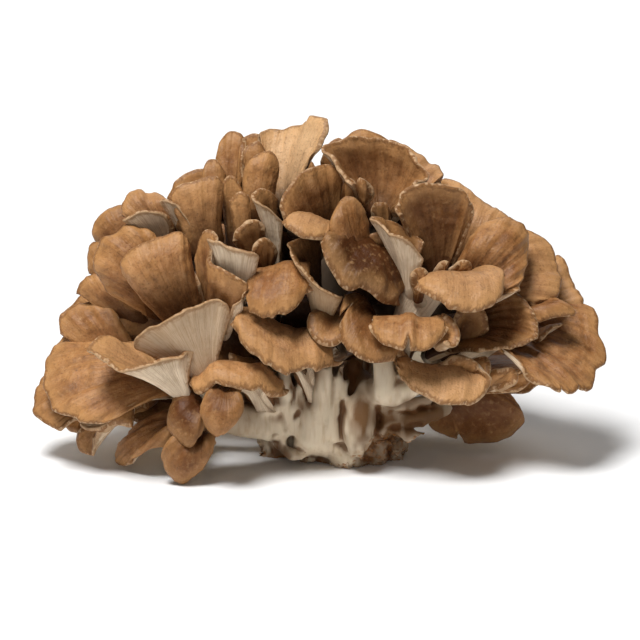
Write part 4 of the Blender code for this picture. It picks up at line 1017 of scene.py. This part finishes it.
@dataclass
class Skeleton:
    """The trunk with its lumpy foot, the limbs and the stalks, grown together into one cream body.

    skin_step is the step of the skin that is grown over them, stalk_radius the least radius of a stalk, both
    in millimetres, and limb_share how much of its radius a limb keeps between the fronds.
    """

    limbs: dict[str, tuple[list[Place], float, float]]
    fronds: list[tuple[str, Frond]]
    box: np.ndarray
    skin_step: float = 0.95
    stalk_radius: float = 2.4
    limb_share: float = 0.78
    seed: int = 5
    piece: bpy.types.Object | None = None

    @staticmethod
    def add_tube(work: bmesh.types.BMesh, places: np.ndarray, radii: np.ndarray, sides: int = 14) -> None:
        """Add a closed tube along places.

        Args:
            work: the mesh that it is added to.
            places: the middle line, in millimetres.
            radii: its radius at each place.
            sides: how many sides it has.
        """
        guide = np.array([0.31, 0.22, 0.92])
        turn = np.arange(sides)[:, None] * 2 * math.pi / sides
        rings = []
        for place, radius, way in zip(places, radii, np.gradient(places, axis=0)):
            way = way / np.linalg.norm(way)
            aside = np.cross(way, guide)
            aside = aside / np.linalg.norm(aside)
            ring = place + radius * (np.cos(turn) * aside + np.sin(turn) * np.cross(way, aside))
            rings.append([work.verts.new(Vector(spot) * MM) for spot in ring])
        for ring, after in zip(rings, rings[1:]):
            for side in range(sides):
                beside = (side + 1) % sides
                work.faces.new((ring[side], ring[beside], after[beside], after[side]))
        work.faces.new(rings[0][::-1])
        work.faces.new(rings[-1])

    def limb_line(self, branch: str) -> np.ndarray:
        """The smooth middle line of a branch's limb, over the ground."""
        places = upright(np.array(self.limbs[branch][0], float))
        return smooth_curve(places, np.linspace(-1, 1, 6 * (len(places) - 1) + 1))

    def add_stalk(self, work: bmesh.types.BMesh, frond: Frond, line: np.ndarray) -> None:
        """Add the stalk that carries a frond, from its limb into its foot.

        Args:
            work: the mesh that it is added to.
            frond: the frond.
            line: the middle line of the limb.
        """
        foot = upright(np.array(frond.foot, float))
        near = line[np.argmin(np.linalg.norm(line - foot, axis=1))]
        ahead = upright(frond.tip) - foot
        ahead = ahead / np.linalg.norm(ahead)
        # It leaves the limb, sags a little, swells under the frond and thins inside it.
        root = foot - ahead * 1.5 + (near - foot) * 0.05
        sag = (near + root) * 0.5 + np.array([0, 0, -0.6])
        radius = max(self.stalk_radius, frond.stem * 0.48)
        places = np.array([near, sag, root, foot + ahead * 2.5])
        self.add_tube(work, places, radius * np.array([1.1, 1.0, 1.12, 0.6]), 12)

    def build(self) -> None:
        """Grow the trunk, limbs and stalks together with a voxel skin and cut it flat at the ground."""
        work = bmesh.new()
        lines = {branch: self.limb_line(branch) for branch in self.limbs}
        for branch, line in lines.items():
            _, thick, thin = self.limbs[branch]
            self.add_tube(work, line, np.linspace(thick, thin, len(line)) * self.limb_share)
        for branch, frond in self.fronds:
            self.add_stalk(work, frond, lines[branch])
        where = np.linspace(-1, 1, 14)
        stems = [(upright(np.array(line, float)), radii) for line, radii in STEMS]
        for line, radii in [TRUNK_COLUMN, *stems]:
            sizes = smooth_curve(np.array(radii, float)[:, None], where)[:, 0]
            self.add_tube(work, smooth_curve(np.array(line, float), where), np.maximum(sizes, 0.5), 24)
        for place, sizes in BASE_LUMPS:
            lump = bmesh.ops.create_icosphere(work, subdivisions=3, radius=1)
            for vertex in lump["verts"]:
                vertex.co = (Vector(place) + Vector([vertex.co[k] * sizes[k] for k in range(3)])) * MM
        mesh = bpy.data.meshes.new("trunk_and_limbs")
        work.to_mesh(mesh)
        work.free()
        self.piece = new_object("trunk_and_limbs", mesh)
        skin = self.piece.modifiers.new("skin", "REMESH")
        skin.mode = "VOXEL"
        skin.voxel_size = self.skin_step * MM
        ease = self.piece.modifiers.new("ease", "SMOOTH")
        ease.iterations = 7
        ease.factor = 0.5
        self.roughen(as_modified(self.piece))

    def roughen(self, mesh: bpy.types.Mesh) -> None:
        """Push the skin in and out: long fibres up the trunk, crumbs at its foot, flat at the ground.

        Args:
            mesh: the skin to work.
        """
        spots, normal = read_vectors(mesh, "co").astype(float) / MM, read_vectors(mesh, "normal")
        # These three follow the places as they are pushed.
        x, y, z = spots.T
        noise = Ripple(self.seed)
        high = z * TILT_COS + y * TILT_SIN + FLOOR * TILT_COS
        angle = np.arctan2(y, x)
        fibres = 0.5 * noise.at(angle * 7 + x / 9, z / 16)
        fibres += 0.12 * noise.at(angle * 22 + x / 2.6 + 5, z / 11 + 8)
        crumbs = 1.9 * noise.at(x / 3.1 + 3, z / 2.7 + y / 3)
        crumbs += 0.8 * noise.at(x / 1.4 + 3, z / 1.3 + y / 1.4 + 30)
        # The foot is ragged at the ground, and higher up on its right and at its back.
        low = ramp(z, 22.1, 9.1) * (np.hypot(x - 4, y) < 45)
        ragged = np.maximum(ramp(x, 8, 16) * ramp(z, 29, 21), y > 6)
        foot = np.maximum(ramp(z, 4.5, 0), low * ragged * 0.8)
        spots += normal * (fibres * (1 - foot) + crumbs * foot)[:, None]
        edge = noise.at(x / 1.7 + 50, z / 3.2 + 50)
        hollow = self.hollows(spots, normal, high, edge)
        # The front of the foot draws back under the trunk on the left.
        under = ramp(high, 16, 7) ** 1.5 * ramp(x, 12, -2) * ramp(y, -31, -26)
        y += 13 * under * ramp(y, -4, -21)
        # The undercut is browned as well, which paints shade under the overhang.
        hollow = np.maximum(hollow, 0.35 * under * (high < 9))
        # Tan stains, and painted shade between the stems and under the caps.
        stain_and_shade = np.zeros(len(spots))
        for across, up, wide, tall, strength, nearest in STAINS_AND_SHADE:
            apart = np.hypot((x - across) / wide, (high - up) / tall) + 0.25 * edge
            deep = ramp(y, nearest, nearest + 4) * (y < 25)
            stain_and_shade = np.maximum(stain_and_shade, ramp(apart, 1.4, 0.4) * strength * deep)
        # How deep each place lies in a groove: the flesh paints shade in the grooves and a highlight on the
        # ridges.
        groove_shade_ridge_light = self.cavities(mesh, spots, normal)
        spots = np.clip(spots, *self.box)
        write_places(mesh, spots)
        values = {"foot": foot, "hollow": hollow, "stain_and_shade": stain_and_shade, "groove_shade_ridge_light": groove_shade_ridge_light}
        # depth paints shade on the stems deep inside the cluster.
        write_values(mesh, values | {"depth": painted_shade_depth(spots)})
        mesh.update()
        mesh.shade_smooth()

    @staticmethod
    def hollows(spots: np.ndarray, normal: np.ndarray, high: np.ndarray, edge: np.ndarray) -> np.ndarray:
        """Press the hollows into the trunk's front.

        Args:
            spots: the skin's places, in millimetres, which are moved.
            normal: which way it looks at each place.
            high: the height of each place in the front view.
            edge: how ragged the hollows are there.

        Returns:
            How far each place lies in a hollow, from 0 to 1.
        """
        hollow = np.zeros(len(spots))
        forward = np.clip(normal @ np.array([0.0, -TILT_COS, TILT_SIN]) + 0.5, 0, 1)
        for across, up, wide, tall, depth in HOLLOWS:
            apart = np.hypot((spots[:, 0] - across) / wide, (high - up) / tall) + 0.5 * edge
            dent = ramp(apart, 1.3, 0.3) * (spots[:, 1] < 2) * forward
            spots[:, 1] += dent * depth
            hollow = np.maximum(hollow, np.clip(dent * 2, 0, 1))
        return hollow

    @staticmethod
    def cavities(mesh: bpy.types.Mesh, spots: np.ndarray, normal: np.ndarray, passes: int = 14) -> np.ndarray:
        """Find where the skin lies in a groove, for the painted shade in the grooves and the painted
        highlight on the ridges.

        Args:
            mesh: the skin, for its edges.
            spots: its places, in millimetres.
            normal: which way it looks at each place.
            passes: how many times each place is moved to the middle of its neighbours.

        Returns:
            How far each place lies below its surroundings, in millimetres.
        """
        edges = np.empty(len(mesh.edges) * 2, np.int32)
        mesh.edges.foreach_get("vertices", edges)
        start, end = edges.reshape(-1, 2).T
        count = np.maximum(np.bincount(edges, minlength=len(spots)), 1)[:, None]
        eased = spots
        for _ in range(passes):
            total = [
                np.bincount(start, eased[end, k], len(spots)) + np.bincount(end, eased[start, k], len(spots))
                for k in range(3)
            ]
            eased = np.stack(total, axis=-1) / count
        return ((eased - spots) * normal).sum(axis=1)

    def dress(self, finish: bpy.types.Material) -> None:
        """Give the body its flesh and tie it to the frame.

        Args:
            finish: the cream flesh.
        """
        self.piece.data.materials.append(finish)
        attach(self.piece, "root")
        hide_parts("trunk")
        LOG.info("trunk and limbs: %d faces", len(self.piece.data.polygons))


@dataclass(frozen=True)
class Grain:
    """A noise pattern: its name, its size across and along in millimetres, and how fine it breaks up."""

    name: str
    across: float
    along: float
    detail: float


@dataclass(frozen=True)
class Layer:
    """A colour laid over the ones before it, from nothing where a pattern is low to most where it is high."""

    pattern: str
    low: float
    high: float
    most: float
    tint: str


class NodeTree:
    """The nodes of a material or of a Geometry Nodes tree, added one by one."""

    def __init__(self, tree: bpy.types.NodeTree) -> None:
        """Keep the tree."""
        self.tree = tree

    def add(
        self, kind: str, inputs: dict[str | int, object] | None = None, **settings: object
    ) -> bpy.types.Node:
        """Add a node.

        Args:
            kind: the node's type name.
            inputs: values for its sockets, or sockets to link to them.
            **settings: the node's own properties.

        Returns:
            The node.
        """
        node = self.tree.nodes.new(kind)
        for name, value in settings.items():
            setattr(node, name, value)
        for name, value in (inputs or {}).items():
            if isinstance(value, Socket):
                self.tree.links.new(value, node.inputs[name])
            else:
                node.inputs[name].default_value = value
        return node

    def read(self, names: tuple[str, ...]) -> tuple[dict[str, Socket], Socket]:
        """Read what the mesh gives a material.

        Args:
            names: the named values of the mesh.

        Returns:
            Their sockets, and the place in millimetres.
        """
        named = {name: self.add("ShaderNodeAttribute", attribute_name=name).outputs["Fac"] for name in names}
        place = self.add("ShaderNodeTexCoord").outputs["Object"]
        return named, self.add(MAPPING, {"Vector": place, "Scale": (1000, 1000, 1000)}).outputs[0]

    def patterns(self, spot: Socket, grains: tuple[Grain, ...]) -> dict[str, Socket]:
        """Make noise patterns over a coordinate in millimetres.

        Args:
            spot: the coordinate.
            grains: the patterns.

        Returns:
            Each pattern's value, from 0 to 1.
        """
        found = {}
        for grain in grains:
            scale = (1 / grain.across, 1 / grain.along, 1 / grain.across)
            drawn = self.add(MAPPING, {"Vector": spot, "Scale": scale}).outputs[0]
            noise = self.add("ShaderNodeTexNoise", {"Vector": drawn, "Scale": 1.0, "Detail": grain.detail})
            found[grain.name] = noise.outputs["Fac"]
        return found

    def paint(
        self, first: str, layers: tuple[Layer, ...], patterns: dict[str, Socket]
    ) -> Socket:
        """Lay colours over one another.

        Args:
            first: the lowest colour.
            layers: the colours over it, in order.
            patterns: the values that the layers name.

        Returns:
            The last colour.
        """
        shade: object = colour(first)
        for layer in layers:
            span = {"From Min": layer.low, "From Max": layer.high, "To Max": layer.most}
            share = self.add(RANGE, {"Value": patterns[layer.pattern], **span}).outputs[0]
            inputs = {0: share, 6: shade, 7: colour(layer.tint)}
            shade = self.add(MIX, inputs, data_type="RGBA").outputs[2]
        return shade

    def finish(self, shade: Socket, relief: Socket, roughness: float, under: float) -> None:
        """Lead a colour and a relief into a dry surface that lets a little light in, as cap and stem do.

        Args:
            shade: the colour.
            relief: how high the surface stands.
            roughness: how matt it is.
            under: the share of light that enters it.
        """
        surface = self.tree.nodes["Principled BSDF"].inputs
        bump = self.add("ShaderNodeBump", {"Height": relief, "Strength": 0.42, "Distance": 0.0005}).outputs[0]
        self.tree.links.new(shade, surface["Base Color"])
        self.tree.links.new(bump, surface["Normal"])
        surface["Roughness"].default_value = roughness
        surface["IOR"].default_value = 1.4
        surface["Specular IOR Level"].default_value = 0.3
        surface["Subsurface Weight"].default_value = under
        surface["Subsurface Radius"].default_value = (1.0, 0.6, 0.35)
        surface["Subsurface Scale"].default_value = 0.0012


def new_material(name: str) -> bpy.types.Material:
    """Make a material with nodes.

    Args:
        name: its name, after the real thing.

    Returns:
        The material, with a plain surface.
    """
    material = bpy.data.materials.new(name)
    material.use_nodes = True
    return material


@dataclass(frozen=True)
class FrondFinish:
    """Maitake cap skin over cream pores, which gives the eye a dry satin brown, streaked and clouded."""

    base: str = "8F5E35"
    pore_base: str = "ECD8BC"
    roughness: float = 0.46
    grains: tuple[Grain, ...] = (
        Grain("streak", 1.0, 13, 3),
        Grain("band", 4.5, 24, 2),
        Grain("hair", 0.45, 9, 2),
        Grain("wear", 1.4, 1.4, 2),
    )
    clouds: tuple[Grain, ...] = (
        Grain("cloud", 12, 12, 3),
        Grain("mottle", 4, 4, 5),
        Grain("fleck", 0.8, 0.8, 3),
        Grain("scuff", 7, 7, 6),
        Grain("patch", 1.9, 1.9, 6),
    )
    # Cloudy mid and light browns, the frond's tone, which is partly its own colour and partly painted light
    # and shade, fine dark streaks and flecks, small worn patches and scuffs, painted shade towards the foot
    # and a painted dark heart, a darker line just inside the edge and a thin worn pale edge.
    cap: tuple[Layer, ...] = (
        Layer("cloud", 0.36, 0.64, 0.7, "AE7B48"),
        Layer("band", 0.5, 0.72, 0.4, "BC8D5E"),
        Layer("band", 0.48, 0.28, 0.4, "5A361B"),
        Layer("mottle", 0.52, 0.7, 0.36, "C8986A"),
        Layer("mottle", 0.46, 0.28, 0.5, "4E2E17"),
        # The tone layers give each frond partly its own colour and partly painted light and shade.
        Layer("tone", 0.5, 0.0, 0.85, "50280B"),
        Layer("tone", 0.0, -1.0, 0.9, "261003"),
        Layer("tone", 0.5, 1.0, 0.8, "C49668"),
        Layer("tone", 1.0, 1.5, 0.75, "DDB689"),
        Layer("streak", 0.5, 0.72, 0.26, "4E2E16"),
        Layer("fleck", 0.56, 0.72, 0.45, "44270E"),
        Layer("patch", 0.56, 0.74, 0.3, "CFA26F"),
        Layer("patch", 0.44, 0.3, 0.28, "55321A"),
        Layer("scuff", 0.66, 0.8, 0.3, "D2AF84"),
        # Painted shade: darker towards the frond's foot, deep between the fronds.
        Layer("reach", 0.75, 0.05, 0.85, "3E1D07"),
        Layer("edge", 9.0, 2.0, 0.42, "C3935E"),
        Layer("edge", 2.0, 0.9, 0.55, "5E381B"),
        Layer("edge", 0.4, -0.4, 0.65, "D6B48C"),
        # Painted shade in the heart of the cluster.
        Layer("depth", 0.0, 0.7, 0.9, "210C02"),
    )
    # Cream with fine tan lines that run from stem to rim, tan towards the edge, darker with the tone, which
    # is partly painted shade, and painted shade in the heart of the cluster.
    pores: tuple[Layer, ...] = (
        Layer("hair", 0.42, 0.7, 0.6, "AF8C66"),
        Layer("band", 0.45, 0.75, 0.4, "B59C80"),
        Layer("mottle", 0.5, 0.75, 0.3, "A58462"),
        Layer("reach", 0.75, 1.0, 0.3, "A98A68"),
        # Partly painted shade, by the frond's tone.
        Layer("tone", 0.5, 0.0, 0.8, "A98257"),
        Layer("edge", 2.6, 1.0, 0.8, "9A734C"),
        Layer("edge", 0.9, 0.2, 0.5, "BD9C76"),
        # Painted shade in the heart of the cluster.
        Layer("depth", 0.1, 1.0, 0.6, "3A210F"),
    )

    def material(self) -> bpy.types.Material:
        """Build the skin's nodes.

        Returns:
            The material.
        """
        material = new_material("maitake_cap_and_pores")
        tree = NodeTree(material.node_tree)
        named, in_mm = tree.read(("cap", "reach", "rim_gap", "tone", "across", "along", "depth"))
        # The streaks follow the frond, and its tone shifts them so that no two fronds share them.
        spot = {"X": named["across"], "Y": named["along"], "Z": named["tone"]}
        over = tree.add("ShaderNodeCombineXYZ", spot).outputs[0]
        named |= tree.patterns(over, self.grains) | tree.patterns(in_mm, self.clouds)
        worn = tree.add(MATH, {0: named["wear"], 1: 4.0, 2: -1.9}, operation="MULTIPLY_ADD").outputs[0]
        named["edge"] = tree.add(MATH, {0: named["rim_gap"], 1: worn}, operation="ADD").outputs[0]
        skin = tree.paint(self.base, self.cap, named)
        below = tree.paint(self.pore_base, self.pores, named)
        side = tree.add(RANGE, {"Value": named["cap"], "From Min": 0.35, "From Max": 0.65}).outputs[0]
        both = tree.add(MIX, {0: side, 6: below, 7: skin}, data_type="RGBA").outputs[2]
        lines = tree.add(MATH, {0: named["streak"], 1: named["fleck"]}, operation="ADD").outputs[0]
        relief = tree.add(MATH, {0: named["wear"], 1: lines}, operation="ADD").outputs[0]
        tree.finish(both, relief, self.roughness, 0.03)
        return material


@dataclass(frozen=True)
class FleshFinish:
    """Maitake stem flesh, which gives the eye a firm matt cream with tan fibres and painted shade in its
    grooves.
    """

    base: str = "D6C4A9"
    roughness: float = 0.6
    grains: tuple[Grain, ...] = (
        Grain("fibre", 1.6, 12, 4),
        Grain("mottle", 5, 5, 4),
        Grain("crumb", 1.5, 1.5, 4),
        Grain("stain", 9, 9, 3),
    )
    # Cream, tan fibres, stains, a painted highlight on the ridges and painted shade in the grooves, tan
    # stains and painted shade on the trunk's front, painted shade where the stems rise between the fronds,
    # brown in the hollows, earth and orange at the foot.
    layers: tuple[Layer, ...] = (
        Layer("fibre", 0.5, 0.72, 0.4, "B4936E"),
        Layer("stain", 0.55, 0.75, 0.4, "C0A280"),
        Layer("mottle", 0.6, 0.8, 0.4, "9A7450"),
        # Painted highlight on the ridges.
        Layer("groove_shade_ridge_light", -0.2, -1.4, 0.5, "EBDCC4"),
        # Tan stains and painted shade on the trunk's front.
        Layer("stain_and_shade", 0.0, 0.85, 0.96, "64421F"),
        # Painted shade in the grooves.
        Layer("groove_shade_ridge_light", 0.0, 0.6, 0.8, "6E4828"),
        # Painted shade where the stems rise deep between the fronds.
        Layer("depth", 0.0, 0.6, 0.9, "3A2617"),
        Layer("hollow", 0.1, 1.0, 0.6, "6B4526"),
        Layer("dirt", 0.3, 0.6, 0.7, "9A6430"),
    )

    def material(self) -> bpy.types.Material:
        """Build the flesh's nodes.

        Returns:
            The material.
        """
        material = new_material("maitake_stem_flesh")
        tree = NodeTree(material.node_tree)
        named, in_mm = tree.read(("foot", "depth", "hollow", "stain_and_shade", "groove_shade_ridge_light"))
        # Turned so that the fibres run up the stems.
        upward = tree.add(MAPPING, {"Vector": in_mm, "Rotation": (math.pi / 2, 0, 0)}).outputs[0]
        named |= tree.patterns(upward, self.grains)
        dirt = {0: named["foot"], 1: named["crumb"]}
        named["dirt"] = tree.add(MATH, dirt, operation="MULTIPLY").outputs[0]
        tree.finish(tree.paint(self.base, self.layers, named), named["fibre"], self.roughness, 0.1)
        return material


@dataclass
class Crumbs:
    """The crumbs of flesh and soil that cling to the trunk's ragged foot, scattered by Geometry Nodes."""

    trunk: bpy.types.Object
    box: np.ndarray
    per_square_metre: float = 260000.0
    size: float = 0.0011
    seed: int = 3
    piece: bpy.types.Object | None = None

    def scatter(self) -> bpy.types.GeometryNodeTree:
        """Lay out the tree: points where the foot is ragged, a flattened crumb on each, realized.

        Returns:
            The tree, with its density, size and seed as named inputs.
        """
        tree = bpy.data.node_groups.new("foot_crumbs", "GeometryNodeTree")
        sockets = (
            ("Geometry", "INPUT", "NodeSocketGeometry"), ("Per square metre", "INPUT", "NodeSocketFloat"),
            ("Size", "INPUT", "NodeSocketFloat"), ("Seed", "INPUT", "NodeSocketInt"),
            ("Flesh", "INPUT", "NodeSocketMaterial"), ("Geometry", "OUTPUT", "NodeSocketGeometry"),
        )
        for name, way, kind in sockets:
            tree.interface.new_socket(name, in_out=way, socket_type=kind)
        nodes = NodeTree(tree)
        given = nodes.add("NodeGroupInput").outputs
        foot = nodes.add("GeometryNodeInputNamedAttribute", {"Name": "foot"}, data_type="FLOAT").outputs[0]
        ragged = nodes.add(MATH, {0: foot, 1: 3.0}, operation="POWER").outputs[0]
        density = nodes.add(MATH, {0: ragged, 1: given["Per square metre"]}, operation="MULTIPLY").outputs[0]
        points = nodes.add(
            "GeometryNodeDistributePointsOnFaces",
            {"Mesh": given["Geometry"], "Density": density, "Seed": given["Seed"]},
        ).outputs
        crumb = nodes.add("GeometryNodeMeshIcoSphere", {"Radius": 1.0, "Subdivisions": 1}).outputs["Mesh"]
        sizes = nodes.add(
            "FunctionNodeRandomValue", {0: (0.4, 0.5, 0.2), 1: (1.5, 1.2, 0.7), "Seed": given["Seed"]},
            data_type="FLOAT_VECTOR",
        ).outputs[0]
        sized = {0: sizes, "Scale": given["Size"]}
        scale = nodes.add("ShaderNodeVectorMath", sized, operation="SCALE").outputs[0]
        placed = nodes.add(
            "GeometryNodeInstanceOnPoints",
            {"Points": points["Points"], "Instance": crumb, "Rotation": points["Rotation"], "Scale": scale},
        ).outputs[0]
        solid = nodes.add("GeometryNodeRealizeInstances", {0: placed}).outputs[0]
        flesh = {"Geometry": solid, "Material": given["Flesh"]}
        nodes.add("NodeGroupOutput", {0: nodes.add("GeometryNodeSetMaterial", flesh).outputs[0]})
        return tree

    def build(self, finish: bpy.types.Material) -> None:
        """Scatter the crumbs and keep them as a plain mesh.

        Args:
            finish: the cream flesh.
        """
        tree = self.scatter()
        self.piece = new_object("foot_crumbs", self.trunk.data.copy())
        modifier = self.piece.modifiers.new("crumbs", "NODES")
        modifier.node_group = tree
        values = {"Per square metre": self.per_square_metre, "Size": self.size, "Seed": self.seed}
        values["Flesh"] = finish
        for item in tree.interface.items_tree:
            if item.in_out == "INPUT" and item.name in values:
                modifier[item.identifier] = values[item.name]
        mesh = as_modified(self.piece)
        write_places(mesh, np.clip(read_vectors(mesh, "co") / MM, *self.box))
        write_values(mesh, {"foot": np.ones(len(mesh.vertices))})
        mesh.shade_smooth()
        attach(self.piece, "root")
        LOG.info("crumbs: %d faces", len(mesh.polygons))


@dataclass(frozen=True)
class Lamp:
    """A soft square light: its name, where it hangs, its side in metres, its watts and what it looks at."""

    name: str
    place: Place
    size: float
    power: float
    target: Place = (0, 0, 0.05)

    def hang(self) -> None:
        """Add it to the scene."""
        light = bpy.data.lights.new(self.name, "AREA")
        light.size = self.size
        light.energy = self.power
        thing = new_object(self.name, light)
        thing.location = self.place
        thing.rotation_euler = (Vector(self.target) - Vector(self.place)).to_track_quat("-Z", "Y").to_euler()


@dataclass
class Studio:
    """The plain pale floor, the soft lights and the camera, in metres except for the width of the view."""

    distance: float = 1.4
    field_mm: float = 256.0
    middle_mm: float = 64.0
    sensor_mm: float = 36.0
    room_light: float = 0.07
    lamps: tuple[Lamp, ...] = (
        Lamp("key", (-0.38, -0.5, 1.52), 0.6, 32.5),
        Lamp("fill", (-0.3, -1.7, 0.75), 1.3, 2.4),
        Lamp("back", (0.2, 1.5, 1.1), 1.4, 22, (0.2, 1.9, 0.0)),
    )

    def build(self) -> None:
        """Lay the floor, hang the lights and set the camera."""
        mesh = bpy.data.meshes.new("floor")
        work = bmesh.new()
        bmesh.ops.create_grid(work, x_segments=1, y_segments=1, size=6)
        work.to_mesh(mesh)
        work.free()
        # Matt white paper gives the eye an even pale ground with a soft shadow on it.
        paper = new_material("white_paper")
        surface = paper.node_tree.nodes["Principled BSDF"].inputs
        surface["Base Color"].default_value = colour("F4F4F4")
        surface["Roughness"].default_value = 0.9
        mesh.materials.append(paper)
        floor = new_object("floor", mesh)
        floor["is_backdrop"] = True
        for lamp in self.lamps:
            lamp.hang()
        world = bpy.data.worlds.new("room")
        world.use_nodes = True
        room = world.node_tree.nodes["Background"].inputs
        room["Color"].default_value = colour("FFFFFF")
        room["Strength"].default_value = self.room_light
        bpy.context.scene.world = world
        lens = bpy.data.cameras.new("camera")
        lens.sensor_width = self.sensor_mm
        lens.lens = self.sensor_mm * self.distance / (self.field_mm * MM)
        lens.clip_end = 20
        camera = new_object("camera", lens)
        middle = Vector(upright(np.array([0.0, self.middle_mm, 0.0])) * MM)
        camera.location = middle + Vector((0, -TILT_COS, TILT_SIN)) * self.distance
        camera.rotation_euler = (math.radians(90) - VIEW_TILT, 0, 0)
        bpy.context.scene.camera = camera
        bpy.context.scene.view_settings.view_transform = "Standard"


def main() -> None:
    """Load the frame, build and dress the pieces, and set up the studio."""
    logging.basicConfig(level=logging.INFO, format="%(message)s")
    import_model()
    before = [list(corner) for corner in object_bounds()]
    box = np.array(before) / MM + np.array([[0.05], [-0.05]])
    fronds = [(branch, frond) for branch, entries in FRONDS.items() for frond in entries] + back_fronds()
    skin = FrondFinish().material()
    flesh = FleshFinish().material()
    skeleton = Skeleton(LIMBS, fronds, box)
    skeleton.build()
    skeleton.dress(flesh)
    Crumbs(skeleton.piece, box).build(flesh)
    for seed, name in enumerate(LIMBS):
        branch = Branch(name, [frond for carrier, frond in fronds if carrier == name], seed + 1, box)
        branch.build()
        branch.dress(skin)
    Studio().build()


if __name__ == "__main__":
    main()
